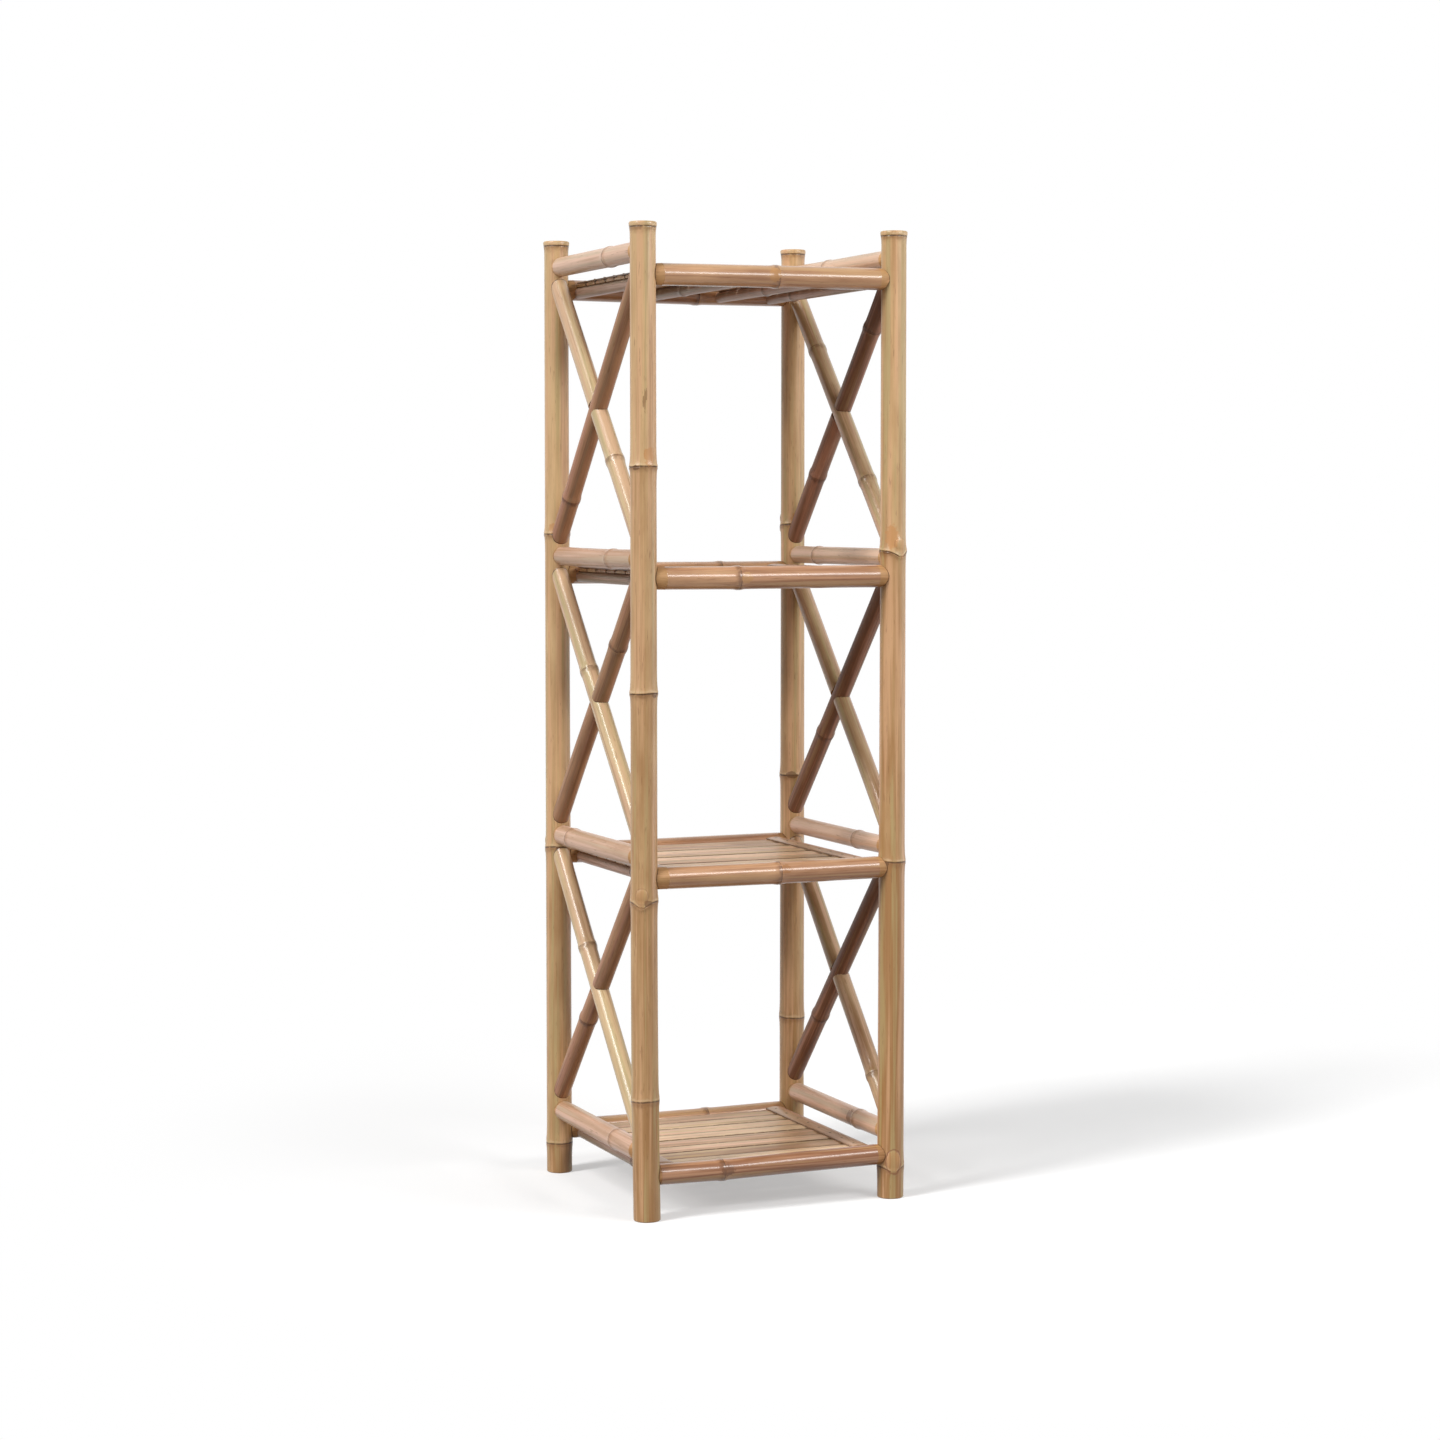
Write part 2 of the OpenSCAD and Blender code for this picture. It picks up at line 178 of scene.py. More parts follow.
# %% Rings of a culm's skin
# The swelling of a node: distance from its scar in millimetres, and share of the full rise
RIDGE = (
    (-28, 0), (-18, 0.06), (-10, 0.2), (-5, 0.4), (-2.4, 0.72), (-1.1, 0.96), (-0.5, 0.84), (0, 0.5),
    (0.5, 0.8), (1.2, 1), (2.6, 0.82), (5, 0.52), (10, 0.26), (18, 0.08), (28, 0),
)
SOFT_RING = (
    (-20, 0), (-11, 0.08), (-7.5, 0.3), (-5, 0.7), (-3, 0.95), (-1, 1), (0, 0.8),
    (1, 1), (3, 0.92), (5, 0.62), (7.5, 0.25), (11, 0.07), (20, 0),
)
NODE_REACH = 20 * MM
RIDGE_RISE, SOFT_RISE = 2 * MM, 1.2 * MM
RING_STEP = 36 * MM
RING_ROOM = 3 * MM


def rings(start, stop, radius_at, nodes, extra=(), swelling=RIDGE, rise=RIDGE_RISE):
    """Heights and radii of a culm's skin: even steps, closer rings at each node, and some of its own."""
    places, shares = zip(*swelling)
    fixed = [start, stop] + list(extra) + [node + at * MM for node in nodes for at in places]
    fixed = [z for z in fixed if start <= z <= stop]
    steps = round((stop - start) / RING_STEP)
    even = [start + (stop - start) * i / steps for i in range(1, steps)]
    heights = fixed + [z for z in even if min(abs(z - other) for other in fixed) > RING_ROOM]
    made = []
    for z in sorted(set(heights)):
        swell = sum(np.interp((z - node) / MM, places, shares) for node in nodes)
        made.append((z, radius_at(z) + swell * rise))
    return made


# %% [markdown]
# ## Growth
# A turned shape is too perfect. A real culm bows a little, is slightly oval, kinks at its nodes, and its
# rings wave and dip under each branch bud. No operator grows bamboo, so the vertices are moved in code by
# smooth formulas, with numbers drawn from the piece's own name so that each run gives the same culm. The
# oval only flattens, so a culm never grows out of its box.

# %% Waves, ovals and bends
OVAL = 0.015
# A drift of the foot fades out over this share of the culm
DRIFT_SHARE = 0.3
BUD_DIP = 9 * MM
BUD_HALF_ANGLE = 0.55


def ring_wave(angle, name, index, bud):
    """How far a node's ring lies above its place, all round the culm."""
    draw = random.Random("%s ring %d" % (name, index))
    wave = 0.5 * np.sin(angle + draw.uniform(0, 6)) + 0.3 * np.sin(2 * angle + draw.uniform(0, 6))
    wave = wave + 0.15 * np.sin(5 * angle + draw.uniform(0, 6))
    if bud is not None:
        turn = np.angle(np.exp(1j * (angle - bud)))
        wave = wave - BUD_DIP / MM * np.exp(-((turn / BUD_HALF_ANGLE) ** 2))
    return wave * MM


def nearness(height):
    """1 at a node's scar, falling smoothly to 0 at the end of its reach."""
    near = np.clip(1 - np.abs(height) / NODE_REACH, 0, 1)
    return near * near * (3 - 2 * near)


class Culm:
    """Where a culm runs and how it grew. Heights are measured along its axis from its start."""

    def __init__(
        self, name, start, end, nodes, bow=0.6 * MM, kink=(0, 0), drift=(0, 0), buds=None, tones=None,
    ):
        self.name, self.nodes, self.buds = name, sorted(nodes), buds or {}
        run = end - start
        self.length = run.length
        # An upright culm keeps the room's axes, and a lying one keeps its Y up
        upright = start.xy == end.xy
        turn = Matrix() if upright else run.to_track_quat("Z", "Y").to_matrix().to_4x4()
        self.place = Matrix.Translation(start) @ turn
        draw = random.Random(name)
        self.oval_turn = draw.uniform(0, math.pi)
        bow_turn = draw.uniform(0, 2 * math.pi)
        self.bow = bow * np.array([math.cos(bow_turn), math.sin(bow_turn)])
        self.kink, self.drift = np.array(kink), np.array(drift)
        self.tones = tones or [draw.uniform(0.35, 0.65) for _ in range(len(self.nodes) + 1)]
        self.shift = draw.uniform(0, 10)
        # Rings that are only a line, such as the one under a post's cap
        self.lines = []
        # How thin the scars' lines are drawn, and the heights and radii of the skin
        self.thinness, self.skin = 1, []

    def bend(self, z):
        """Sideways shift of the axis: a bow, a kink at the first node and a drift of the foot."""
        share = np.clip(z / self.length, 0, 1)
        out = np.sin(math.pi * share)[:, None] * self.bow
        if self.nodes:
            peak = self.nodes[0] / self.length
            tent = np.minimum(share / peak, (1 - share) / (1 - peak))
            out = out + tent[:, None] * self.kink
        foot = np.clip(1 - share / DRIFT_SHARE, 0, 1) ** 2
        return out + foot[:, None] * self.drift

    def grow(self, shape):
        """Moves the points of a straight culm to where they grew, and stands it in its place."""
        co = points(shape)
        angle = np.arctan2(co[:, 1], co[:, 0])
        co[:, :2] *= (1 - OVAL * (1 - np.cos(2 * (angle - self.oval_turn))) / 2)[:, None]
        lift = np.zeros(len(co))
        for i, node in enumerate(self.nodes):
            lift += ring_wave(angle, self.name, i, self.buds.get(i)) * nearness(co[:, 2] - node)
        co[:, :2] += self.bend(co[:, 2])
        co[:, 2] += lift
        set_points(shape, co)
        shape.data.transform(self.place)
        return shape

    def local(self, co):
        """Places in the culm's own frame, from places in the room."""
        back = np.array(self.place.inverted())
        return co @ back[:3, :3].T + back[:3, 3]

    def mark(self, shape, joints=()):
        """Stores what the bamboo material needs: grain, the dark lines of scars and the painted shade at
        joints, growth band, the browned ring below each node and tone.
        """
        room = points(shape)
        co = self.local(room)
        axis = self.bend(co[:, 2])
        angle = np.arctan2(co[:, 1] - axis[:, 1], co[:, 0] - axis[:, 0])
        from_scar, growth, collar = far_from_nodes(len(co))
        tone = np.full(len(co), self.tones[0])
        for i, node in enumerate(self.nodes + self.lines):
            height = co[:, 2] - node
            if i < len(self.nodes):
                height = height - ring_wave(angle, self.name, i, self.buds.get(i)) * nearness(height)
                tone = np.where(height > 0, self.tones[i + 1], tone)
            from_scar = np.minimum(from_scar, np.abs(height) * self.thinness)
            growth = np.maximum(growth, np.interp(height / MM, GROWTH_AT, GROWTH_SHARE) / self.thinness)
            collar = np.maximum(collar, np.interp(height / MM, COLLAR_AT, COLLAR_SHARE))
        # A dark line is painted where the piece meets another round one, as the shade in the joint
        for other in joints:
            near = other.local(room)
            axis = other.bend(near[:, 2])
            heights, radii = zip(*other.skin)
            reach = np.hypot(near[:, 0] - axis[:, 0], near[:, 1] - axis[:, 1])
            from_scar = np.minimum(from_scar, np.abs(reach - np.interp(near[:, 2], heights, radii)))
        store_marks(shape, co + [0, 0, self.shift], from_scar, growth, collar, tone)
        return shape


# %% Write the marks
# Heights above a scar in millimetres, with the share of the pale growth band and of the brown collar there
GROWTH_AT, GROWTH_SHARE = (0.8, 2.2, 3.6, 7), (0, 1, 0.8, 0)
COLLAR_AT, COLLAR_SHARE = (-20, -10, -5, -1.1, 0), (0, 0.25, 0.6, 1, 0)


def far_from_nodes(count):
    """Distance from a scar, growth band and collar for points away from any node."""
    return np.full(count, NODE_REACH), np.zeros(count), np.zeros(count)


def store_marks(shape, grain, from_scar, growth, collar, tone):
    """Writes the marks as named attributes, one value for each point."""
    marks = {"grain": grain, "from_scar": from_scar, "growth": growth, "collar": collar, "tone": tone}
    for name, values in marks.items():
        kind, field = ("FLOAT_VECTOR", "vector") if name == "grain" else ("FLOAT", "value")
        layer = shape.data.attributes.get(name) or shape.data.attributes.new(name, kind, "POINT")
        layer.data.foreach_set(field, values.astype(np.float32).ravel())


# %% [markdown]
# ## Materials
# Bamboo is a giant grass. Its skin is hard and smooth and shows long fine fibres; it is pale straw to
# golden brown, with pinkish and greenish streaks, brown flecks, and at each node a dark scar, a pale growth
# band above it and a browner collar below. Here it is sanded and varnished. A picture texture would be easy
# but fixed to one piece; noise stretched along the culm fits every piece, and stored attributes say where
# the fibres run, where the nodes are and how dark each internode is. On some pieces that tone also holds
# painted light and shade, and painted shade is laid along the slats' seams and where culms meet.

# %% A node helper and colours
# The numbered sockets of the Mix node in its colour mode
SHARE, UNDER, OVER, MIXED = 0, 6, 7, 2
COLOUR = {"data_type": "RGBA"}
SMOOTH = {"interpolation_type": "SMOOTHSTEP"}


def linear(code):
    """The linear colour of an sRGB hex code."""
    values = [int(code[i:i + 2], 16) / 255 for i in (1, 3, 5)]
    return [v / 12.92 if v <= 0.04045 else ((v + 0.055) / 1.055) ** 2.4 for v in values] + [1]


def node(tree, kind, inputs, out=0, **settings):
    """Adds one node and gives one of its outputs. An input is a value, or another node's output to link."""
    made = tree.nodes.new(kind)
    for name, value in settings.items():
        setattr(made, name, value)
    for key, value in inputs.items():
        if isinstance(value, bpy.types.NodeSocket):
            tree.links.new(value, made.inputs[key])
        else:
            made.inputs[key].default_value = value
    return made.outputs[out] if made.outputs else made


def empty_tree(block):
    """The cleared node tree of a material or world."""
    block.use_nodes = True
    block.node_tree.nodes.clear()
    return block.node_tree


def fibres(tree, grain, across, along, detail=2.0):
    """A pattern whose spots are so wide and so long, in metres."""
    size = (1 / across, 1 / across, 1 / along)
    place = node(tree, "ShaderNodeMapping", {"Vector": grain, "Scale": size})
    return node(tree, "ShaderNodeTexNoise", {"Vector": place, "Scale": 1.0, "Detail": detail})


def coats(tree, colour, layers):
    """Lays thin coats on a colour. Each layer has a pattern, its range, a strength and a colour."""
    for pattern, low, high, strength, tint in layers:
        ends = {"Value": pattern, "From Min": low, "From Max": high, "To Min": 0.0, "To Max": strength}
        share = node(tree, "ShaderNodeMapRange", ends, **SMOOTH)
        mix = {SHARE: share, UNDER: colour, OVER: linear(tint)}
        colour = node(tree, "ShaderNodeMix", mix, MIXED, **COLOUR)
    return colour


# %% Bamboo skin
# Fibre bundles are under half a millimetre wide. They are drawn 1.3 mm wide, so that they show from afar.
FIBRE_W, FIBRE_L = 1.3 * MM, 70 * MM
STREAK_W, STREAK_L = 5 * MM, 240 * MM
BAND_W, BAND_L = 9 * MM, 420 * MM
PATCH_W, PATCH_L = 20 * MM, 80 * MM
FLECK_W, FLECK_L = 2.2 * MM, 24 * MM
CHIP = 7 * MM
# A scar is a groove half a millimetre wide with a browned lip at both sides
SCAR_W = 1.7 * MM
# The scars' brown also paints the shade where one culm meets another
SCAR_AND_JOINT_SHADE_BROWN, FLECK_BROWN, EYE_BROWN = "#4a2f18", "#7d5630", "#7a4a2a"
GROWTH_CREAM = "#dcc39c"
BAMBOO_IOR = 1.52
# How much smoother and rougher than the rest of the skin single fibres are
FIBRE_SHINE, FIBRE_MATT = 0.06, 0.08
# A thin varnish that has sunk in mirrors less than a thick one, so its IOR is low
COAT_ROUGHNESS, COAT_IOR = 0.22, 1.45


def bamboo(name, skin, roughness, coat, marks=(), specular=0.4):
    """Bamboo skin, coloured by its pale and deep tone, pink and green streaks, the browned ring below its
    nodes and, on slats and strips, painted shade along their edges.
    """
    pale, deep, pink, green, collar = skin
    tree = empty_tree(bpy.data.materials.new(name))
    grain = node(tree, "ShaderNodeAttribute", {}, "Vector", attribute_name="grain")
    tone, from_scar, growth, collar_and_seam_shade_share = [
        node(tree, "ShaderNodeAttribute", {}, "Fac", attribute_name=mark)
        for mark in ("tone", "from_scar", "growth", "collar")
    ]
    fibre = fibres(tree, grain, FIBRE_W, FIBRE_L)
    streak = fibres(tree, grain, STREAK_W, STREAK_L, 4.0)
    band = fibres(tree, grain, BAND_W, BAND_L)
    patch = fibres(tree, grain, PATCH_W, PATCH_L, 4.0)
    fleck = fibres(tree, grain, FLECK_W, FLECK_L, 3.0)
    chip = fibres(tree, grain, CHIP, CHIP, 3.0)

    tone = node(tree, "ShaderNodeMath", {0: patch, 1: 0.9, 2: tone}, operation="MULTIPLY_ADD")
    tone = node(tree, "ShaderNodeMath", {0: streak, 1: 0.4, 2: tone}, operation="MULTIPLY_ADD")
    uneven = node(tree, "ShaderNodeMath", {0: chip, 1: 2.2, 2: -0.1}, operation="MULTIPLY_ADD")
    broken = node(tree, "ShaderNodeMath", {0: collar_and_seam_shade_share, 1: uneven}, operation="MULTIPLY")
    banded = node(tree, "ShaderNodeMath", {0: growth, 1: uneven}, operation="MULTIPLY")
    line = {"Value": from_scar, "From Min": SCAR_W, "From Max": 0.3 * SCAR_W, "To Min": 0.0, "To Max": 1.0}
    line = node(tree, "ShaderNodeMapRange", line, **SMOOTH)
    line = node(tree, "ShaderNodeMath", {0: line, 1: uneven}, operation="MULTIPLY")
    # Each coat's pattern, where it starts to show and where it is full, its strength and its colour
    colour = coats(tree, linear(deep), (
        (tone, 0.65, 1.65, 1.0, pale),
        (band, 0.5, 0.64, 0.65, pink),
        (band, 0.48, 0.36, 0.65, green),
        (streak, 0.52, 0.68, 0.5, deep),
        (fibre, 0.52, 0.72, 0.28, deep),
        (fleck, 0.62, 0.72, 0.45, FLECK_BROWN),
        # The nodes' brown collar, and on slats and strips the painted shade along their edges
        (broken, 0.2, 1.0, 0.65, collar),
        (banded, 0.3, 1.2, 0.5, GROWTH_CREAM),
        # The scars' dark line, which also paints the shade at the joints between culms
        (line, 0.25, 0.95, 0.85, SCAR_AND_JOINT_SHADE_BROWN),
    ))
    colour = add_marks(tree, colour, marks)

    skin_roughness = node(tree, "ShaderNodeMapRange", {
        "Value": fibre, "From Min": 0.3, "From Max": 0.7,
        "To Min": roughness - FIBRE_SHINE, "To Max": roughness + FIBRE_MATT,
    })
    bumps = node(tree, "ShaderNodeMath", {0: streak, 1: 1.5, 2: fibre}, operation="MULTIPLY_ADD")
    relief = node(tree, "ShaderNodeBump", {"Height": bumps, "Strength": 0.3, "Distance": 0.3 * MM})
    shader = node(tree, "ShaderNodeBsdfPrincipled", {
        "Base Color": colour, "Roughness": skin_roughness, "Normal": relief, "IOR": BAMBOO_IOR,
        "Specular IOR Level": specular, "Coat Weight": coat, "Coat Roughness": COAT_ROUGHNESS,
        "Coat IOR": COAT_IOR,
    })
    node(tree, "ShaderNodeOutputMaterial", {"Surface": shader})
    return bpy.data.materials[name]


def add_marks(tree, colour, marks):
    """Paints single marks: a bud's eye with an outline of that strength, or at 0 a ragged stained patch."""
    here = node(tree, "ShaderNodeTexCoord", {}, "Object")
    rough_edge = node(tree, "ShaderNodeTexNoise", {"Vector": here, "Scale": 1 / (5 * MM), "Detail": 3.0})
    for strength, centre, half_size, tint in marks:
        scale = [1 / half for half in half_size]
        shift = [-at * k for at, k in zip(centre, scale)]
        place = node(tree, "ShaderNodeMapping", {"Vector": here, "Scale": scale, "Location": shift})
        far = node(tree, "ShaderNodeVectorMath", {0: place}, "Value", operation="LENGTH")
        if strength:
            far = node(tree, "ShaderNodeMath", {0: rough_edge, 1: 0.3, 2: far}, operation="MULTIPLY_ADD")
            edge = node(tree, "ShaderNodeMath", {0: far, 1: 1.15}, operation="SUBTRACT")
            edge = node(tree, "ShaderNodeMath", {0: edge}, operation="ABSOLUTE")
            layers = ((far, 1.15, 0.8, 0.4, tint), (edge, 0.14, 0.03, strength, EYE_BROWN))
        else:
            ragged = node(tree, "ShaderNodeMath", {0: rough_edge, 1: 1.1, 2: far}, operation="MULTIPLY_ADD")
            layers = ((ragged, 1.55, 1.35, 0.75, tint),)
        colour = coats(tree, colour, layers)
    return colour


# %% End grain, dowels and nails
FIBRE_BUNDLE = 1.6 * MM


def end_grain():
    """Sawn bamboo: pale dry pith with the darker dots of the fibre bundles. Rough, so it has no shine."""
    tree = empty_tree(bpy.data.materials.new("sawn_bamboo_end"))
    here = node(tree, "ShaderNodeTexCoord", {}, "Object")
    dots = node(tree, "ShaderNodeTexVoronoi", {"Vector": here, "Scale": 1 / FIBRE_BUNDLE}, "Distance")
    colour = coats(tree, linear("#7a5634"), ((dots, 0.15, 0.45, 1.0, "#c8a77c"),))
    shader = node(tree, "ShaderNodeBsdfPrincipled", {"Base Color": colour, "Roughness": 0.85})
    node(tree, "ShaderNodeOutputMaterial", {"Surface": shader})
    return bpy.data.materials["sawn_bamboo_end"]


def plain_stock(name, first, second, speck, low, high, metallic):
    """A plain material with soft specks of two colours, rougher where it is paler."""
    tree = empty_tree(bpy.data.materials.new(name))
    here = node(tree, "ShaderNodeTexCoord", {}, "Object")
    specks = fibres(tree, here, speck, speck)
    roughness = node(tree, "ShaderNodeMapRange", {"Value": specks, "To Min": low, "To Max": high})
    shader = node(tree, "ShaderNodeBsdfPrincipled", {
        "Base Color": coats(tree, linear(first), ((specks, 0.3, 0.7, 1.0, second),)),
        "Roughness": roughness, "Metallic": metallic,
    })
    node(tree, "ShaderNodeOutputMaterial", {"Surface": shader})
    return bpy.data.materials[name]


# %% The shared finishes
# Beech dowels are plain, pale and close-grained. Wire nails are a grey metal, dulled brown by handling.
CUT = end_grain()
BEECH = plain_stock("beech_dowel", "#c9a877", "#dcc39a", 3 * MM, 0.6, 0.75, 0.0)
STEEL = plain_stock("dulled_wire_steel", "#6b5d4c", "#857560", 2 * MM, 0.45, 0.6, 1.0)
# Skins: pale, deep, pink streak, green streak, collar. On slats and strips the collar colour is the painted
# shade along their edges.
POST_SKIN = ("#d1af80", "#9c7142", "#d3a67e", "#b09d6c", "#8c623a")
RAIL_SKIN = ("#d1a67c", "#885838", "#cf9e7a", "#bd976a", "#66432a")
SIDE_SKIN = ("#d6b498", "#ac8464", "#dcb49c", "#b9a184", "#8a6040")
# The next two brace skins are one bamboo painted in a lit and a shaded copy
LIT_BRACE_SKIN = ("#cbb188", "#8a6240", "#cba486", "#b0a074", "#6b4a2e")
SHADED_BRACE_SKIN = ("#ba8e6c", "#75503c", "#b0806a", "#96785a", "#52362a")
SLAT_SKIN = ("#e8c79e", "#99704a", "#e4b394", "#caaa74", "#4a2f1c")
STRIP_SKIN = ("#cba684", "#946a4a", "#cfa184", "#b29472", "#4a2f1c")
BEARER_SKIN = ("#c9a893", "#8b6d5c", "#cfa898", "#9c937d", "#5f4938")
RASPED_SKIN = ("#c99f6e", "#9a6d40", "#cf9f72", "#b08a5c", "#75502e")
# Braces that climb to the back get the pale copy as painted light, and those that climb to the front the
# dark, duller copy as painted shade
LIT_BRACE_BAMBOO = bamboo("satin_brace_bamboo", LIT_BRACE_SKIN, 0.4, 0.8, specular=0.15)
SHADED_BRACE_BAMBOO = bamboo("dull_brown_brace_bamboo", SHADED_BRACE_SKIN, 0.5, 0.25, specular=0.15)
SLAT_BAMBOO = bamboo("split_slat_bamboo", SLAT_SKIN, 0.46, 0.15)
STRIP_BAMBOO = bamboo("split_strip_bamboo", STRIP_SKIN, 0.42, 0.25)
BEARER_BAMBOO = bamboo("plain_bearer_bamboo", BEARER_SKIN, 0.5, 0.2)
RASPED_BAMBOO = bamboo("rasped_bamboo_end", RASPED_SKIN, 0.6, 0.0)
print("finishes:", len(bpy.data.materials))

# %% [markdown]
# ## Finishing a piece
# Two culms meet in a saddle: the end of one is hollowed to fit the round side of the other, with a hair
# of air left between. A boolean with a slightly fattened copy of the other culm cuts exactly that. The
# copy has no bore, so no scrap is left inside the other culm, and only the length at the joint, which
# keeps the boolean quick. It is fattened by a Displace modifier, which moves each point along its normal.

# %% Cut, dress and place
SADDLE_GAP = 0.3 * MM
SHARP_ANGLE = math.radians(40)
SKIN_SLOT, CUT_SLOT, RASPED_SLOT = 0, 1, 2


def copy_of(shape, name):
    """A copy with its own mesh."""
    twin = shape.copy()
    twin.data = shape.data.copy()
    twin.name = name
    bpy.context.scene.collection.objects.link(twin)
    return twin


def apply_modifier(shape, kind, **settings):
    """Adds one modifier and applies it at once."""
    bpy.ops.object.select_all(action="DESELECT")
    bpy.context.view_layer.objects.active = shape
    shape.select_set(True)
    modifier = shape.modifiers.new(kind.lower(), kind)
    for name, value in settings.items():
        setattr(modifier, name, value)
    bpy.ops.object.modifier_apply(modifier=modifier.name)
    shape.select_set(False)


def paint(shape, *materials):
    """Sets the skin's material and, where given, the cut's and the rasped end's."""
    shape.data.materials.clear()
    for material in materials:
        shape.data.materials.append(material)
    return shape


def cutter(plan, low, high):
    """A solid, slightly fattened part of a culm that cuts a saddle. Its faces carry the cut's material."""
    fat = plan.grow(turned(plan.name + "_cutter", [ring for ring in plan.skin if low < ring[0] < high]))
    apply_modifier(fat, "DISPLACE", strength=SADDLE_GAP, mid_level=0.0, direction="NORMAL")
    paint(fat, CUT, CUT)
    fat.data.polygons.foreach_set("material_index", [CUT_SLOT] * len(fat.data.polygons))
    fat.data.update()
    return fat


def drop_crumbs(shape):
    """Deletes the crumbs that a cut leaves loose. The point nearest the middle is on the piece itself."""
    co = points(shape)
    nearest = int(np.argmin(np.linalg.norm(co - co.mean(0), axis=1)))
    bpy.ops.object.select_all(action="DESELECT")
    bpy.context.view_layer.objects.active = shape
    shape.select_set(True)
    bpy.ops.object.mode_set(mode="EDIT")
    bpy.ops.mesh.select_mode(type="VERT")
    bpy.ops.mesh.select_all(action="DESELECT")
    bpy.ops.object.mode_set(mode="OBJECT")
    shape.data.vertices[nearest].select = True
    bpy.ops.object.mode_set(mode="EDIT")
    bpy.ops.mesh.select_linked()
    bpy.ops.mesh.select_all(action="INVERT")
    bpy.ops.mesh.delete(type="VERT")
    bpy.ops.object.mode_set(mode="OBJECT")
    shape.select_set(False)


def cut(shape, *cutters):
    """Hollows the shape with each cutter."""
    for tool in cutters:
        apply_modifier(shape, "BOOLEAN", operation="DIFFERENCE", solver="EXACT", object=tool)
    drop_crumbs(shape)
    return shape


# A piece whose box is farther than this from its CAD piece's box is named, to be looked at
BOX_SLACK = 4 * MM


def finish(shape, slot, *nodes):
    """Smooths a piece, sets it on its body, hides the CAD pieces that it stands for and compares the two
    boxes.
    """
    bpy.ops.object.select_all(action="DESELECT")
    bpy.context.view_layer.objects.active = shape
    shape.select_set(True)
    bpy.ops.object.shade_smooth_by_angle(angle=SHARP_ANGLE)
    shape.select_set(False)
    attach(shape, "root")
    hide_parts(*nodes)
    co = points(shape)
    low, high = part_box(nodes[0])
    off = max(np.abs(co.min(0) - np.array(low)).max(), np.abs(co.max(0) - np.array(high)).max())
    if off > BOX_SLACK:
        print("look at", shape.name, "- its box is off by", round(off / MM, 1), "mm")
    return shape


def report(title, shapes):
    """Prints how many faces a group of pieces has."""
    print(title, "-", len(shapes), "pieces,", sum(len(s.data.polygons) for s in shapes), "faces")


# %% [markdown]
# ## Posts
# Each post is one culm, 1.4 m long, cut square at the floor and just above a node at the top, so that the
# node's wall closes it and its swelling makes a small flared cap. The foot is open, with the hollow
# running up to the first node. The posts come first because every other piece is cut to fit them.

# %% Draw the posts
FOOT_R, TOP_R = 19.25 * MM, 18 * MM
POST_WALL = 6 * MM
FOOT_EDGE = 1.2 * MM
CAP_FLARE = 1.6 * MM
CAP_LINE = 7.4 * MM
# The cap's rings start so far below the top
CAP_H = 30 * MM
# The sawn top: its eased edge, and its shallow dish as depths in millimetres and shares of the radius
TOP_EDGE = 1.2 * MM
DISH = ((0.4, 0.75), (1.6, 0.45))
# The wall that closes the foot's hollow lies just under the first node
NODE_WALL = 2 * MM
POST_NODES = {
    (LEFT, FRONT): (171, 453, 744, 1058),
    (RIGHT, FRONT): (47, 492, 940),
    (LEFT, BACK): (45, 494, 962),
    (RIGHT, BACK): (211, 589, 976),
}
# How pale each post's internodes are, from the foot up, so that the posts are darker towards the foot. The
# back right post is set paler, as painted light against the shade of the shelves, and the front right one
# darker, as painted shade against the softbox near it.
POST_TONES = {
    (LEFT, FRONT): (0.2, 0.34, 0.4, 0.52, 0.75),
    (RIGHT, FRONT): (-0.12, 0.03, 0.3, 0.6),
    (LEFT, BACK): (0.22, 0.45, 0.66, 0.78),
    (RIGHT, BACK): (0.36, 0.42, 0.5, 0.62),
}
# Where a branch bud sits: the node's number and the direction that it faces, in degrees from +X
POST_BUDS = {
    (LEFT, FRONT): {1: -122},
    (RIGHT, FRONT): {0: -102, 2: -80},
    (LEFT, BACK): {1: 130},
    (RIGHT, BACK): {2: 130},
}
# The lowest bud of the front right post is bigger and has a strong outline
BIG_BUD = (RIGHT, FRONT, 0)
# Distance below the top in millimetres, and share of the cap's flare
CAP_PROFILE = (
    (20, 0), (14, 0.12), (9.5, 0.4), (8.1, 0.62), (7.4, 0.42), (6.7, 0.66), (5, 0.9),
    (3.6, 1), (2.2, 0.94), (1.1, 0.74), (0.4, 0.42), (0.1, 0.1),
)
FOOT_DRIFT = {(LEFT, FRONT): (4 * MM, 0)}


def post_radius(z):
    return FOOT_R + (TOP_R - FOOT_R) * z / POST_H


# A post's rings stay inside the CAD model's box, less the bow
POST_BOW = 0.4 * MM
WIDEST = CAD_BOX[1].y - SPAN_Y / 2 - POST_BOW


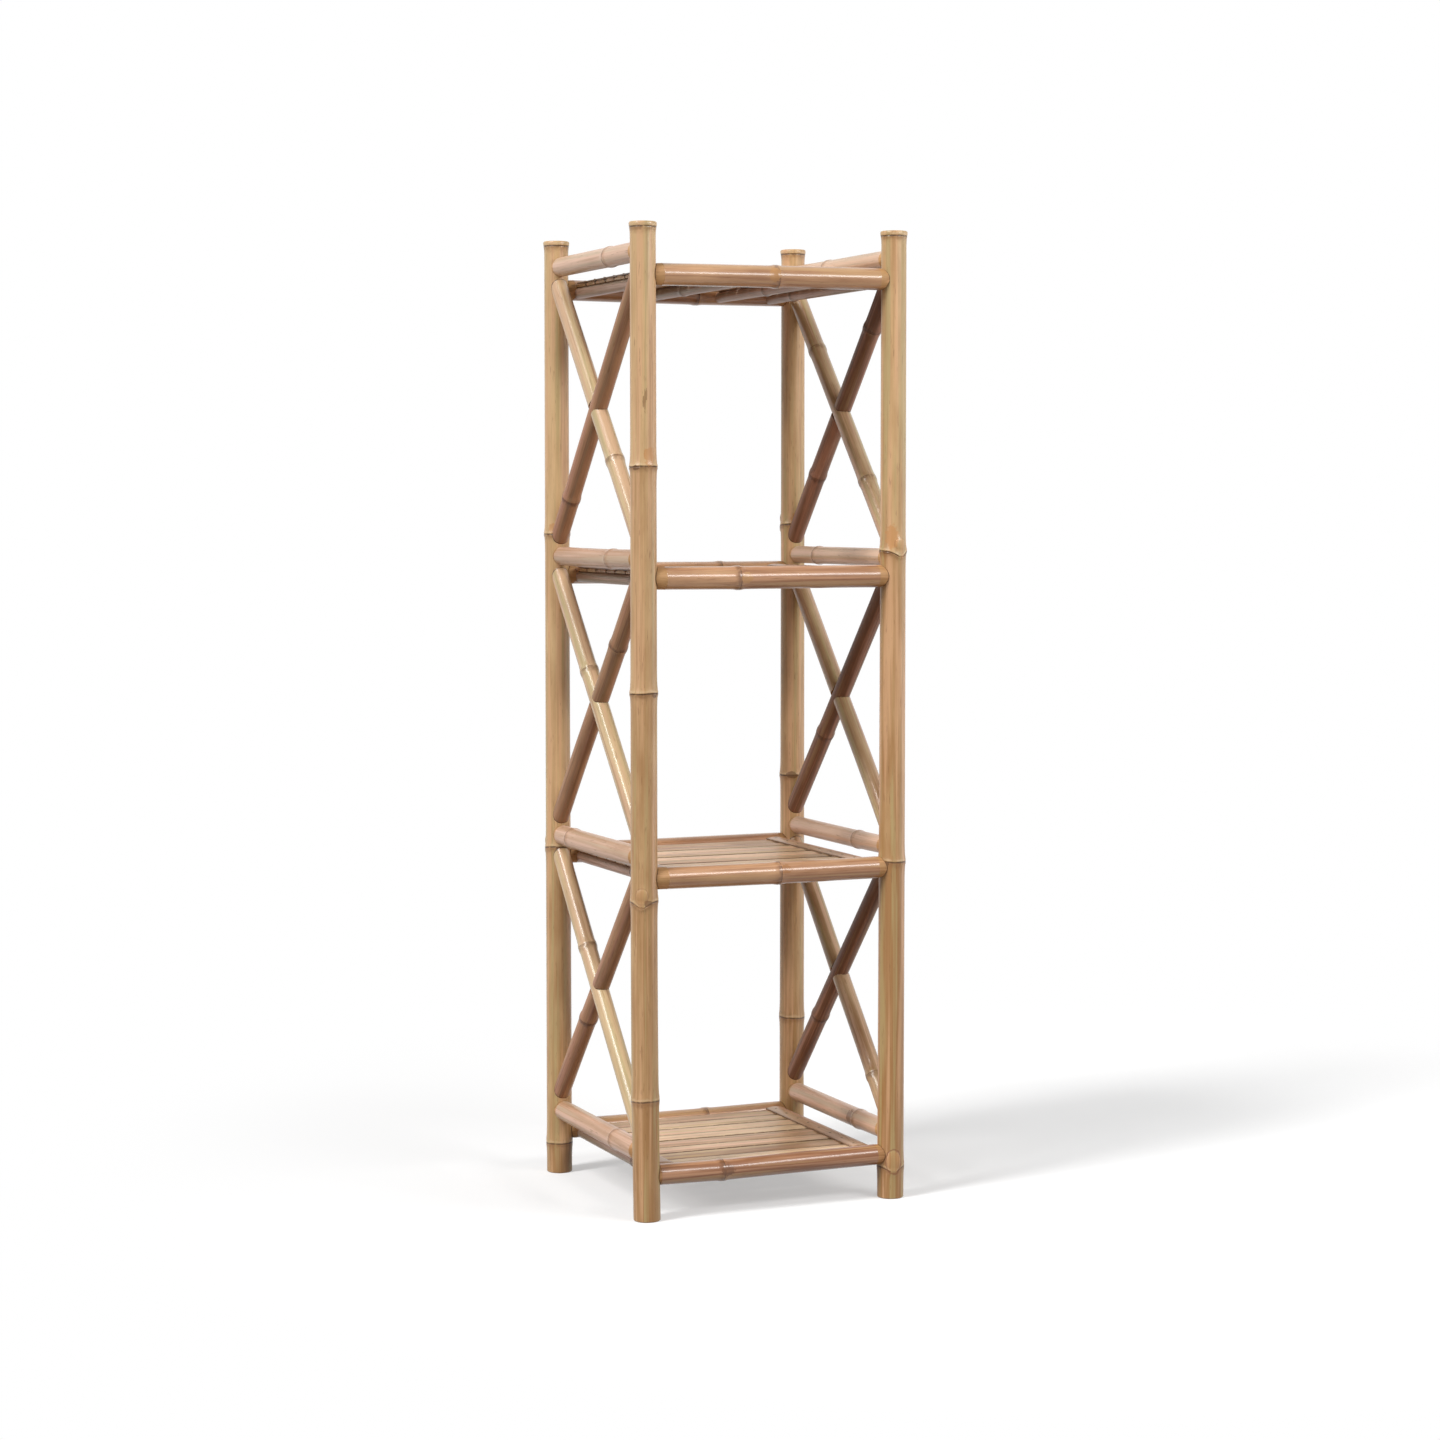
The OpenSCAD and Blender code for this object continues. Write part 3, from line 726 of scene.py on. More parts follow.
def draw_post(side, end):
    name = post_name(side, end)
    nodes = [h * MM for h in POST_NODES[side, end]]
    buds = {i: math.radians(a) for i, a in POST_BUDS[side, end].items()}
    plan = Culm(
        name + "_culm", post_point(side, end, 0), post_point(side, end, POST_H), nodes,
        bow=POST_BOW, drift=FOOT_DRIFT.get((side, end), (0, 0)), buds=buds, tones=POST_TONES[side, end],
    )
    plan.lines = [POST_H - CAP_LINE]
    bore = FOOT_R - POST_WALL
    skin = rings(FOOT_EDGE, POST_H - CAP_H, post_radius, nodes)
    cap = [(POST_H - down * MM, TOP_R + share * CAP_FLARE) for down, share in CAP_PROFILE]
    dish = [(POST_H, TOP_R - TOP_EDGE)] + [(POST_H - down * MM, share * TOP_R) for down, share in DISH]
    foot = [(nodes[0] - NODE_WALL, bore), (0, bore), (0, FOOT_R - FOOT_EDGE)]
    plan.skin = [(z, min(radius, WIDEST)) for z, radius in skin + cap + dish]
    shape = turned(name + "_culm", foot + plan.skin)
    return plan.grow(shape), plan


POSTS = {}
PLANS = {}
for side in SIDES:
    for end in ENDS:
        POSTS[side, end], PLANS[side, end] = draw_post(side, end)
# A cutter takes in the joints of one shelf, which lie so far below and above the front rail
JOINT_LOW, JOINT_HIGH = 70 * MM, 110 * MM
CUTTERS = {
    (side, end, s): cutter(PLANS[side, end], SHELF_Z[s] - JOINT_LOW, SHELF_Z[s] + JOINT_HIGH)
    for side, end in POSTS for s in SHELVES
}
report("posts", list(POSTS.values()))

# %% [markdown]
# ### Branch buds
# Above some nodes a bud never opened and left an oval eye, over which the ring dips. A flattened ball,
# sunk half into the post and joined by a boolean union, gives a real bump with a clean mesh; a painted
# spot alone would look flat from the side. Each post's skin then gets the eye's outline and the stains
# that its sheaths left, so each post has a finish of its own.

# %% Join the buds to the posts
# Depth, width and length of a bud's ball, and the half size of its eye
BUD_SIZE, BIG_BUD_SIZE = (4.4 * MM, 17 * MM, 21 * MM), (4.4 * MM, 21 * MM, 33 * MM)
EYE_HALF, BIG_EYE_HALF = (9.5 * MM, 9.5 * MM, 11.5 * MM), (11.5 * MM, 11.5 * MM, 18 * MM)
BUD_RISE, BUD_SINK = 9 * MM, 1.25 * MM
BUD_TINT, STAIN, OLD_SHEATH = "#b98a58", "#bd8750", "#6d4a2a"


def on_skin(side, end, height, degrees, sink=0.0):
    """A point on a post's skin at a height, in a direction from its axis."""
    shift = Vector((*PLANS[side, end].bend(np.array([height]))[0], 0))
    reach = Vector((post_radius(height) - sink, 0, 0))
    turn = Matrix.Rotation(math.radians(degrees), 3, "Z")
    return post_point(side, end, height) + shift + turn @ reach


def add_bud(side, end, index, degrees):
    """A flat oval bump on the skin, just above a node."""
    centre = on_skin(side, end, PLANS[side, end].nodes[index] + BUD_RISE, degrees, BUD_SINK)
    bpy.ops.mesh.primitive_uv_sphere_add(segments=32, ring_count=16, radius=0.5)
    bud = bpy.context.object
    turn = Matrix.Rotation(math.radians(degrees), 4, "Z")
    size = BIG_BUD_SIZE if (side, end, index) == BIG_BUD else BUD_SIZE
    bud.data.transform(Matrix.Translation(centre) @ turn @ Matrix.Diagonal(size).to_4x4())
    apply_modifier(POSTS[side, end], "BOOLEAN", operation="UNION", solver="EXACT", object=bud)
    bpy.data.objects.remove(bud)


# Stains on the posts: height, direction in degrees, half width and half height in millimetres, and colour
POST_STAINS = {
    (LEFT, FRONT): (
        (1073, -84, 9, 15, STAIN), (1057, -144, 6, 4, OLD_SHEATH), (1150, -104, 1.6, 17, "#8e6a40"),
        (1158, -97, 1.3, 9, "#8a6640"), (1148, -111, 1.3, 10, "#8a6640"),
        (452, -95, 6, 5, OLD_SHEATH), (742, -60, 6, 4, OLD_SHEATH),
    ),
    (RIGHT, FRONT): (
        (960, -120, 11, 19, STAIN), (938, -140, 7, 2.5, OLD_SHEATH), (490, -142, 6, 3, OLD_SHEATH),
    ),
    (LEFT, BACK): ((972, -130, 7, 9, STAIN), (492, -100, 8, 4, OLD_SHEATH)),
    (RIGHT, BACK): ((590, -115, 9, 6, OLD_SHEATH), (985, -100, 8, 9, STAIN)),
}
BUD_TILT = 1 * MM
# How strong the brown outline of an eye is
EYE_LINE, BIG_EYE_LINE = 0.2, 0.65
FACES_DOWN = 0.8

for key in POSTS:
    side, end = key
    marks = []
    for height, degrees, half_w, half_h, tint in POST_STAINS[key]:
        half_size = (half_w * MM, half_w * MM, half_h * MM)
        marks.append((0, on_skin(side, end, height * MM, degrees), half_size, tint))
    for index, degrees in POST_BUDS[key].items():
        add_bud(side, end, index, degrees)
        centre = on_skin(side, end, PLANS[key].nodes[index] + BUD_RISE - BUD_TILT, degrees)
        eye = (BIG_EYE_LINE, BIG_EYE_HALF) if (side, end, index) == BIG_BUD else (EYE_LINE, EYE_HALF)
        marks.append((eye[0], centre, eye[1], BUD_TINT))
    finish_name = "varnished_%s_%s_culm" % (ENDS[end], SIDES[side])
    paint(POSTS[key], bamboo(finish_name, POST_SKIN, 0.42, 0.35, marks), CUT)
    PLANS[key].mark(POSTS[key])
    for face in POSTS[key].data.polygons:
        if abs(face.normal.z) > FACES_DOWN and face.center.z < FOOT_EDGE:
            face.material_index = CUT_SLOT
    finish(POSTS[key], "post_bamboo", post_name(side, end))

# %% [markdown]
# ## Rails
# Two rails join each pair of posts at every shelf: a golden, glossy one along the front and the back, and
# a paler one along each side, a little higher. All are hollow culms with one node each. Straight copies
# would look like pipes, so each one has its own node, bow and kink. The maker rasped the ends to fit, so
# their lips are rounded, and a matt band without varnish is left next to the post.

# %% Draw the front, back and side rails
RAIL_SWELLING = 1.5 * MM


def rail_radius(node):
    """The radius of a CAD rail: half of its box, less the swelling at its node."""
    low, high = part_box(node)
    return (high.z - low.z) / 2 - RAIL_SWELLING


LONG_R = {s: rail_radius("front_rail_%d" % s) for s in SHELVES}
SIDE_R = {(side, s): rail_radius("%s_rail_%d" % (SIDES[side], s)) for side in SIDES for s in SHELVES}
RAIL_BORE = 7 * MM
BORE_DEPTH = 62 * MM
LONG_NODES = {FRONT: (-74, 12, -50, 8), BACK: (47, -60, 70, 31)}
SIDE_NODES = {LEFT: (-71, 105, -59, -52), RIGHT: (-73, -68, 75, 40)}
# How pale the front rails' two internodes grew, on shelves 1 to 4
FRONT_TONES = ((0.12, 0.06), (0.5, 0.35), (0.55, 0.3), (0.5, 0.38))
# The side rails' tones differ from shelf to shelf only. The right side's rails and the top left one are set
# pale, as painted light on rails whose seen sides lie in shade.
SIDE_TONES = {LEFT: (0.25, 0.4, 0.15, 0.85), RIGHT: (0.6, 0.75, 0.95, 0.85)}
# How far a rail sags at its node, in millimetres
LONG_SAG = {FRONT: (2.4, 0.4, 1.2, 0.3), BACK: (0.8, 1.2, 0.5, 0.6)}
SIDE_SAG = 0.6
# Width of the rasped band beyond the post at each end, in millimetres
LONG_RASPED = {FRONT: ((2, 7), (14, 7), (12, 8), (9, 8)), BACK: ((6, 5), (8, 6), (5, 9), (7, 6))}
SIDE_RASPED = (4, 4)
# A lip is rounded from its tip to here, measured from the post's axis
LIP_TIP, LIP_END, LIP_EASE = 9 * MM, 24 * MM, 3.2 * MM
LIP_RINGS = (9, 11.5, 14, 16.5, 19, 21.5, 24)
RASP_DEPTH = 0.25 * MM
# How far the left and the right end of a front rail lie above their even place, in millimetres
LONG_TILT = {4: (-0.5, 2.5)}


def draw_culm(name, start, end, radius_at, bore, depth, nodes, extra=(), **growth):
    """A grown culm between two points, and its plan."""
    plan = Culm(name, start, end, nodes, **growth)
    plan.thinness = 2
    plan.skin = rings(0, plan.length, radius_at, plan.nodes, extra, SOFT_RING, SOFT_RISE)
    ends = [(plan.length, bore), (plan.length - depth, bore)]
    shape = turned(name, [(depth, bore), (0, bore)] + plan.skin + ends)
    return plan.grow(shape), plan


def draw_rail(name, start, end, radius, node_at, sag, rasped, posts, materials, slot, cad, tones=None):
    """A rail between two posts, with a saddle, a rounded lip and a rasped band at each end."""
    length = (end - start).length
    bands = [post_radius(start.z) + width * MM for width in rasped]
    bands[1] = length - bands[1]
    lips = [z * MM for z in LIP_RINGS] + [length - z * MM for z in LIP_RINGS]
    steps = [bands[0], bands[0] + RASP_DEPTH, bands[1] - RASP_DEPTH, bands[1]]

    def radius_at(z):
        ease = np.clip((LIP_END - min(z, length - z)) / (LIP_END - LIP_TIP), 0, 1)
        return radius - LIP_EASE * ease ** 2 - (RASP_DEPTH if z <= bands[0] or z >= bands[1] else 0)

    nodes = [length / 2 + node_at * MM]
    lips = [z for z in lips if min(abs(z - step) for step in steps) > MM]
    shape, plan = draw_culm(
        name, start, end, radius_at, RAIL_BORE, BORE_DEPTH, nodes, lips + steps,
        kink=(0, -sag * MM), tones=tones,
    )
    paint(shape, *materials)
    cut(shape, *[CUTTERS[key] for key in posts])
    plan.mark(shape, [PLANS[side, end] for side, end, _ in posts])
    for face in shape.data.polygons:
        along = (plan.place.inverted() @ face.center).z
        if face.material_index == SKIN_SLOT and not bands[0] < along < bands[1]:
            face.material_index = RASPED_SLOT
    return finish(shape, slot, cad), plan


# Stains by the rails' nodes: from the middle along the rail, above its axis, half width and height, colour
LONG_STAINS = {1: (-70, 0, 12, 9, "#6f4525"), 2: (20, 6, 9, 8, "#9a6634"), 3: (-42, 0, 10, 9, "#b88a58"),
               4: (1, 4, 9, 12, "#b3834f")}
SIDE_STAIN = (0, (SPAN_X / 2 - 14 * MM, -62 * MM, SIDE_Z[1]), (14 * MM, 10 * MM, 14 * MM), "#7a5233")
# The middle of each stained patch lies just under the skin, at this share of the radius
STAIN_SHARE = 0.95
LONG_MARKS = []
for s, (x, up, w, h, tint) in LONG_STAINS.items():
    centre = (x * MM, -SPAN_Y / 2 - LONG_R[s] * STAIN_SHARE, SHELF_Z[s] + up * MM)
    LONG_MARKS.append((0, centre, (w * MM, w * MM, h * MM), tint))
RAIL_BAMBOO = bamboo("glossy_golden_bamboo", RAIL_SKIN, 0.34, 1.0, LONG_MARKS, 0.15)
SIDE_BAMBOO = bamboo("satin_pale_bamboo", SIDE_SKIN, 0.42, 0.3, [SIDE_STAIN], 0.3)
RAILS, RAIL_PLANS = {}, {}
for end in ENDS:
    for s in SHELVES:
        cad = "%s_rail_%d" % (ENDS[end], s)
        left_up, right_up = LONG_TILT.get(s, (0, 0)) if end == FRONT else (0, 0)
        RAILS[end, s], RAIL_PLANS[end, s] = draw_rail(
            cad + "_culm", post_point(LEFT, end, SHELF_Z[s] + left_up * MM),
            post_point(RIGHT, end, SHELF_Z[s] + right_up * MM), LONG_R[s], LONG_NODES[end][s - 1],
            LONG_SAG[end][s - 1], LONG_RASPED[end][s - 1], [(LEFT, end, s), (RIGHT, end, s)],
            (RAIL_BAMBOO, CUT, RASPED_BAMBOO), "front_rail_bamboo", cad,
            FRONT_TONES[s - 1] if end == FRONT else None,
        )
SIDE_RAILS = []
for side in SIDES:
    for s in SHELVES:
        cad = "%s_rail_%d" % (SIDES[side], s)
        SIDE_RAILS.append(draw_rail(
            cad + "_culm", post_point(side, FRONT, SIDE_Z[s]), post_point(side, BACK, SIDE_Z[s]),
            SIDE_R[side, s], SIDE_NODES[side][s - 1], SIDE_SAG, SIDE_RASPED,
            [(side, FRONT, s), (side, BACK, s)], (SIDE_BAMBOO, CUT, RASPED_BAMBOO), "side_rail_bamboo", cad,
            (SIDE_TONES[side][s - 1],) * 2,
        )[0])
report("rails", list(RAILS.values()) + SIDE_RAILS)

# %% [markdown]
# ## Braces
# Each side bay has an X of thin culms. They can't pass through each other, so one runs whole from post to
# post and the other is two halves whose ends are hollowed to sit on it. The halves' sharp lips are sawn
# off, which leaves a small dark notch at the crossing. The long braces are drawn first, because they cut
# the halves.

# %% Draw the braces
BRACE_R, BRACE_BORE = 13 * MM, 4.5 * MM
BRACE_INSET = 16 * MM
LIP_TRIM = 8 * MM
CROSSING_GRIP = 32 * MM
BRACE_RINGS = (2, 4, 6, 8, 11, 14, 17, 20, 23, 26, 29, 32)
# Places of the nodes along the diagonal, from 0 at its lower end, in bays 1 to 3
BRACE_NODES = {
    (LEFT, "long"): ((0.64,), (0.61,), (0.18,)),
    (RIGHT, "long"): ((0.31,), (0.35,), (0.24, 0.74)),
    (LEFT, "lower"): ((0.37,), (), (0.31,)),
    (RIGHT, "lower"): ((0.15,), (), (0.27,)),
    (LEFT, "upper"): ((), (0.72,), ()),
    (RIGHT, "upper"): ((), (), (0.8,)),
}


def long_lean(side, bay):
    """1 where the long brace climbs to the back, -1 where it climbs to the front."""
    return side if bay == 3 else -side


def brace_ends(side, bay, lean):
    """Where a diagonal meets the two posts' axes, from its lower end."""
    low = post_point(side, -lean, SIDE_Z[bay] + BRACE_INSET)
    high = post_point(side, lean, SIDE_Z[bay + 1] - BRACE_INSET)
    return low, high


# How pale each culm is, by panel and lean. The diagonals that climb to the back are set pale, as painted
# light on the upper side that the camera sees, and those that climb to the front dark, as painted shade on
# the underside that it sees. The left panel's are set paler than the right panel's, also as painted light
# and shade. Within each range a culm's tone is drawn at random.
BRACE_TONES = {
    (LEFT, 1): (0.7, 0.9), (RIGHT, 1): (0.35, 0.6),
    (LEFT, -1): (0.55, 0.75), (RIGHT, -1): (0.05, 0.25),
}
# A brace's scars are drawn so many times thinner than a post's
BRACE_SCAR = 3


def draw_brace(side, kind, bay, lean, start, end, nodes, tools, joints):
    cad = "%s_%s_brace_%d" % (SIDES[side], kind, bay)
    length = (end - start).length
    draw = random.Random(cad)
    tones = [draw.uniform(*BRACE_TONES[side, lean]) for _ in range(len(nodes) + 1)]
    close = [z * MM for z in BRACE_RINGS] + [length - z * MM for z in BRACE_RINGS]
    shape, plan = draw_culm(
        cad + "_culm", start, end, lambda z: BRACE_R, BRACE_BORE, CROSSING_GRIP, nodes, close, tones=tones,
    )
    plan.thinness = BRACE_SCAR
    # A brace that climbs to the back is painted lit, and one that climbs to the front is painted in shade
    paint(shape, LIT_BRACE_BAMBOO if lean == 1 else SHADED_BRACE_BAMBOO, CUT)
    cut(shape, *tools)
    plan.mark(shape, joints)
    return finish(shape, "brace_bamboo", cad), plan


BRACES = []
for side in SIDES:
    for bay in BAYS:
        lean = long_lean(side, bay)
        low, high = brace_ends(side, bay, lean)
        length = (high - low).length
        nodes = [p * length for p in BRACE_NODES[side, "long"][bay - 1]]
        foot, head = CUTTERS[side, -lean, bay], CUTTERS[side, lean, bay + 1]
        joints = [PLANS[side, FRONT], PLANS[side, BACK]]
        whole, plan = draw_brace(side, "long", bay, lean, low, high, nodes, [foot, head], joints)
        across = cutter(plan, length / 2 - CROSSING_GRIP, length / 2 + CROSSING_GRIP)

        low, high = brace_ends(side, bay, -lean)
        step = (high - low).normalized() * (length / 2 - LIP_TRIM)
        nodes = [p * length for p in BRACE_NODES[side, "lower"][bay - 1]]
        foot, head = CUTTERS[side, lean, bay], CUTTERS[side, -lean, bay + 1]
        joints.append(plan)
        lower, _ = draw_brace(side, "lower", bay, -lean, low, low + step, nodes, [foot, across], joints)
        nodes = [(1 - p) * length for p in BRACE_NODES[side, "upper"][bay - 1]]
        upper, _ = draw_brace(side, "upper", bay, -lean, high, high - step, nodes, [head, across], joints)
        bpy.data.objects.remove(across)
        BRACES += [whole, lower, upper]
report("braces", BRACES)

# %% [markdown]
# ## Bearers
# Under each shelf four thin culms run from the front rail to the back rail, pegged into both, with a
# narrow flat planed along the top where the slats lie. They are drawn like the rails and cut by a box and
# by the two rails.

# %% Draw the bearers
BEARER_R, BEARER_BORE = 8.5 * MM, 3 * MM
PEG_GRIP = 40 * MM
SLAT_TOP, SLAT_T = 8 * MM, 5 * MM
# How deep the flat along a bearer's top is planed, and how far its axis lies below a rail's
BEARER_FLAT = 0.6 * MM
BEARER_DROP = BEARER_R - BEARER_FLAT - (SLAT_TOP - SLAT_T)
BEARER_NODES = (-62, 40, -15, 75)
# How far a rail's cutter reaches to both sides of a bearer, and how near a bearer comes to the rail's axis
RAIL_SECTION, STUB = 48 * MM, 6 * MM
# Places of the bearers from the middle of the shelf, in millimetres
BEARER_X = (-160.5, -42.8, 65.8, 149.5)


def join(shapes, name):
    """Several shapes as one object."""
    bpy.ops.object.select_all(action="DESELECT")
    for shape in shapes:
        shape.select_set(True)
    bpy.context.view_layer.objects.active = shapes[0]
    bpy.ops.object.join()
    shapes[0].name = name
    return shapes[0]


def planing_box(s):
    """A box that planes the bearers' tops down to the slats."""
    bpy.ops.mesh.primitive_cube_add(size=1)
    box = bpy.context.object
    place = Matrix.Translation((0, 0, SHELF_Z[s] + SLAT_TOP - SLAT_T + BEARER_R / 2))
    box.data.transform(place @ Matrix.Diagonal((SPAN_X, SPAN_Y, BEARER_R, 1)))
    return box


def draw_bearers(s):
    plane = planing_box(s)
    made = []
    for i, (x, node_at) in enumerate(zip(BEARER_X, BEARER_NODES)):
        z = SHELF_Z[s] - BEARER_DROP
        reach = SPAN_Y / 2 - STUB
        start, end = Vector((x * MM, -reach, z)), Vector((x * MM, reach, z))
        along = [reach + node_at * MM]
        name = "bearer_%d_%d" % (s, i + 1)
        shape, plan = draw_culm(name, start, end, lambda z: BEARER_R, BEARER_BORE, PEG_GRIP, along, bow=0)
        paint(shape, BEARER_BAMBOO, CUT)
        along = SPAN_X / 2 + x * MM
        rails = [cutter(RAIL_PLANS[end, s], along - RAIL_SECTION, along + RAIL_SECTION) for end in ENDS]
        cut(shape, plane, *rails)
        made.append(plan.mark(shape))
        for tool in rails:
            bpy.data.objects.remove(tool)
    bpy.data.objects.remove(plane)
    return finish(join(made, "shelf_%d_bearers" % s), "bearer_bamboo", "bearers_%d" % s)


BEARERS = [draw_bearers(s) for s in SHELVES]
report("bearers", BEARERS)

# %% [markdown]
# ## Slats and cap strips
# A slat is a strip split from a thick culm and planed: slightly crowned on top, flat below, with eased
# edges that never run quite straight. One is modelled from a grid with Solidify and Bevel modifiers, and
# then copied. Each copy gets its own width, waves and tone, because a repeated pattern is the first thing
# that the eye catches.

# %% Model one board
SLAT_CROWN_R = 130 * MM
STRIP_W, STRIP_T = 28 * MM, 4 * MM
STRIP_CROWN_R = 45 * MM
BOARD_EDGE, BOARD_CORNER = 0.9 * MM, math.radians(60)
BOARD_ACROSS, BOARD_ALONG = 12, 40
# Slats and strips are painted darker within this distance of their edges, as the shade in the seams between
# them
EDGE_SHADE = 2.8 * MM
# Swapping two axes is a mirror, which turns a mesh's faces inwards, so they are flipped back after it
SWAP_YZ = Matrix(((1, 0, 0, 0), (0, 0, 1, 0), (0, 1, 0, 0), (0, 0, 0, 1)))


def model_board(name, length, thickness):
    """A flat board along Z, one metre wide: X is across it, Y is up, and its top is at Y 0."""
    bpy.ops.mesh.primitive_grid_add(x_subdivisions=BOARD_ACROSS, y_subdivisions=BOARD_ALONG, size=1)
    board = bpy.context.object
    board.name = name
    bpy.ops.object.mode_set(mode="EDIT")
    bpy.ops.mesh.select_all(action="SELECT")
    bpy.ops.transform.resize(value=(1, length, 1), center_override=(0, 0, 0))
    bpy.ops.object.mode_set(mode="OBJECT")
    apply_modifier(board, "SOLIDIFY", thickness=thickness, offset=-1.0)
    apply_modifier(
        board, "BEVEL", width=BOARD_EDGE, segments=2, limit_method="ANGLE", angle_limit=BOARD_CORNER,
    )
    board.data.transform(SWAP_YZ)
    board.data.flip_normals()
    return board


def split_board(master, name, length, width, thickness, crown_r, waver, place, material, tone):
    """A copy of the board with its own width, crown, wavy edges, grain and tone, in its place."""
    draw = random.Random(name)
    board = copy_of(master, name)
    co = points(board)
    co[:, 0] *= width
    top = co[:, 1] > -thickness / 2
    to_edge = width / 2 - np.abs(co[:, 0])
    run = co[:, 2] / length * 2 * math.pi
    for edge in (-1, 1):
        wave = 1 + 0.45 * np.sin(run * draw.uniform(0.5, 1) + draw.uniform(0, 6))
        wave += 0.35 * np.sin(run * draw.uniform(1.6, 2.4) + draw.uniform(0, 6))
        wave += 0.2 * np.sin(run * draw.uniform(4, 6) + draw.uniform(0, 6))
        share = np.clip(edge * co[:, 0] / (width / 2), 0, 1) ** 2
        co[:, 0] -= edge * waver * wave * share
    co[:, 1] -= np.where(top, co[:, 0] ** 2 / (2 * crown_r), 0)
    grain = co + [draw.uniform(0, 1), draw.uniform(0, 1), draw.uniform(0, 10)]
    set_points(board, co)
    board.data.transform(place)
    if place.is_negative:
        board.data.flip_normals()
    from_scar, growth, _ = far_from_nodes(len(co))
    # Painted shade darkens the edges, as in the seams between the slats
    seam_shade = np.clip(1 - to_edge / EDGE_SHADE, 0, 1)
    store_marks(board, grain, from_scar, growth, seam_shade, np.full(len(co), tone))
    return paint(board, material, CUT)


# %% Lay the slats
SLAT_GAP = 1 * MM
SLAT_WAVER = 0.75 * MM
SLAT_SHARES = (0.92, 1.1, 0.94, 1.08, 0.88, 1.04, 0.98, 1.06)
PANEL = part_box("slats_1")
SLAT_L = PANEL[1].x - PANEL[0].x
SLAT_TONES = (0.15, 0.85)
# Lays a board along X with its top up
ALONG_X = Matrix(((0, 0, 1, 0), (1, 0, 0, 0), (0, 1, 0, 0), (0, 0, 0, 1)))
SLAT_MASTER = model_board("slat_master", SLAT_L, SLAT_T)


def lay_slats(s):
    """The eight slats of one shelf, from the front to the back."""
    room = PANEL[1].y - PANEL[0].y - SLAT_GAP * (len(SLAT_SHARES) - 1)
    at = PANEL[0].y
    draw = random.Random("shelf %d" % s)
    made = []
    for i, share in enumerate(SLAT_SHARES):
        width = room * share / sum(SLAT_SHARES)
        place = Matrix.Translation((0, at + width / 2, SHELF_Z[s] + SLAT_TOP)) @ ALONG_X
        made.append(split_board(
            SLAT_MASTER, "slat_%d_%d" % (s, i + 1), SLAT_L, width, SLAT_T, SLAT_CROWN_R, SLAT_WAVER, place,
            SLAT_BAMBOO, draw.uniform(*SLAT_TONES),
        ))
        at += width + SLAT_GAP
    return finish(join(made, "shelf_%d_slats" % s), "slat_bamboo", "slats_%d" % s)


SLATS = [lay_slats(s) for s in SHELVES]
report("slats", SLATS)

# %% Lay the cap strips
STRIP_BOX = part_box("left_cap_strip_1")
STRIP_L = STRIP_BOX[1].y - STRIP_BOX[0].y
STRIP_WAVER = 0.3 * MM
STRIP_TONES = (0.4, 0.8)
STRIP_MASTER = model_board("strip_master", STRIP_L, STRIP_T)


def lay_strip(side, s):
    """The strip that holds the slats' ends down."""
    cad = "%s_cap_strip_%d" % (SIDES[side], s)
    x = side * (SLAT_L - STRIP_W) / 2
    place = Matrix.Translation((x, 0, SHELF_Z[s] + SLAT_TOP + STRIP_T)) @ SWAP_YZ
    strip = split_board(
        STRIP_MASTER, cad + "_board", STRIP_L, STRIP_W, STRIP_T, STRIP_CROWN_R, STRIP_WAVER, place,
        STRIP_BAMBOO, random.Random(cad).uniform(*STRIP_TONES),
    )
    return finish(strip, "strip_bamboo", cad)


STRIPS = [lay_strip(side, s) for side in SIDES for s in SHELVES]
report("cap strips", STRIPS)

# %% [markdown]
# ## What stays from the CAD model
# Dowels, pegs and nails are plain turned shapes, and the CAD pieces already have that shape. They hide in
# the joints, apart from the nails' heads, so they only get a finish.

# %% Dowels, pegs and nails
for name in ("rail_dowels", "brace_dowels", "crossing_dowels", "bearer_pegs"):
    paint(frame["nodes"][name], BEECH)
paint(frame["nodes"]["strip_nails"], STEEL)

# %% Clear the bench
for tool in list(CUTTERS.values()) + [SLAT_MASTER, STRIP_MASTER]:
    bpy.data.objects.remove(tool)

# %% [markdown]
# ## The floor
# The unit stands on a white sweep, as in a studio. A plain white plane would look grey, and a glowing one
# would lose the shadow. So the floor adds a weak white glow to a lit surface, which keeps a pale shadow,
# and fades to plain white farther off. That is for the rays that the camera sees: a dim brown side for
# all other rays keeps the undersides of the rails dark.

# %% The floor
FLOOR_SIZE = 60
FLOOR_LIT, FLOOR_DIM, WHITE = "#c4c4c4", "#887c70", "#ffffff"
FLOOR_GLOW = 0.42
# Round the middle of the shadow the floor shows light and shade, and farther off it fades to plain white
SHADOW_AT = (0.5, 0.1, 0.0)
FADE_FROM, FADE_TO = 0.7, 1.5


def seen_rays(tree):
    """1 for rays from the camera, from a mirror and through glass, else 0."""
    seen = node(tree, "ShaderNodeLightPath", {}, "Is Camera Ray")
    for name in ("Is Glossy Ray", "Is Transmission Ray"):
        other = node(tree, "ShaderNodeLightPath", {}, name)
        seen = node(tree, "ShaderNodeMath", {0: seen, 1: other}, operation="MAXIMUM")
    return seen


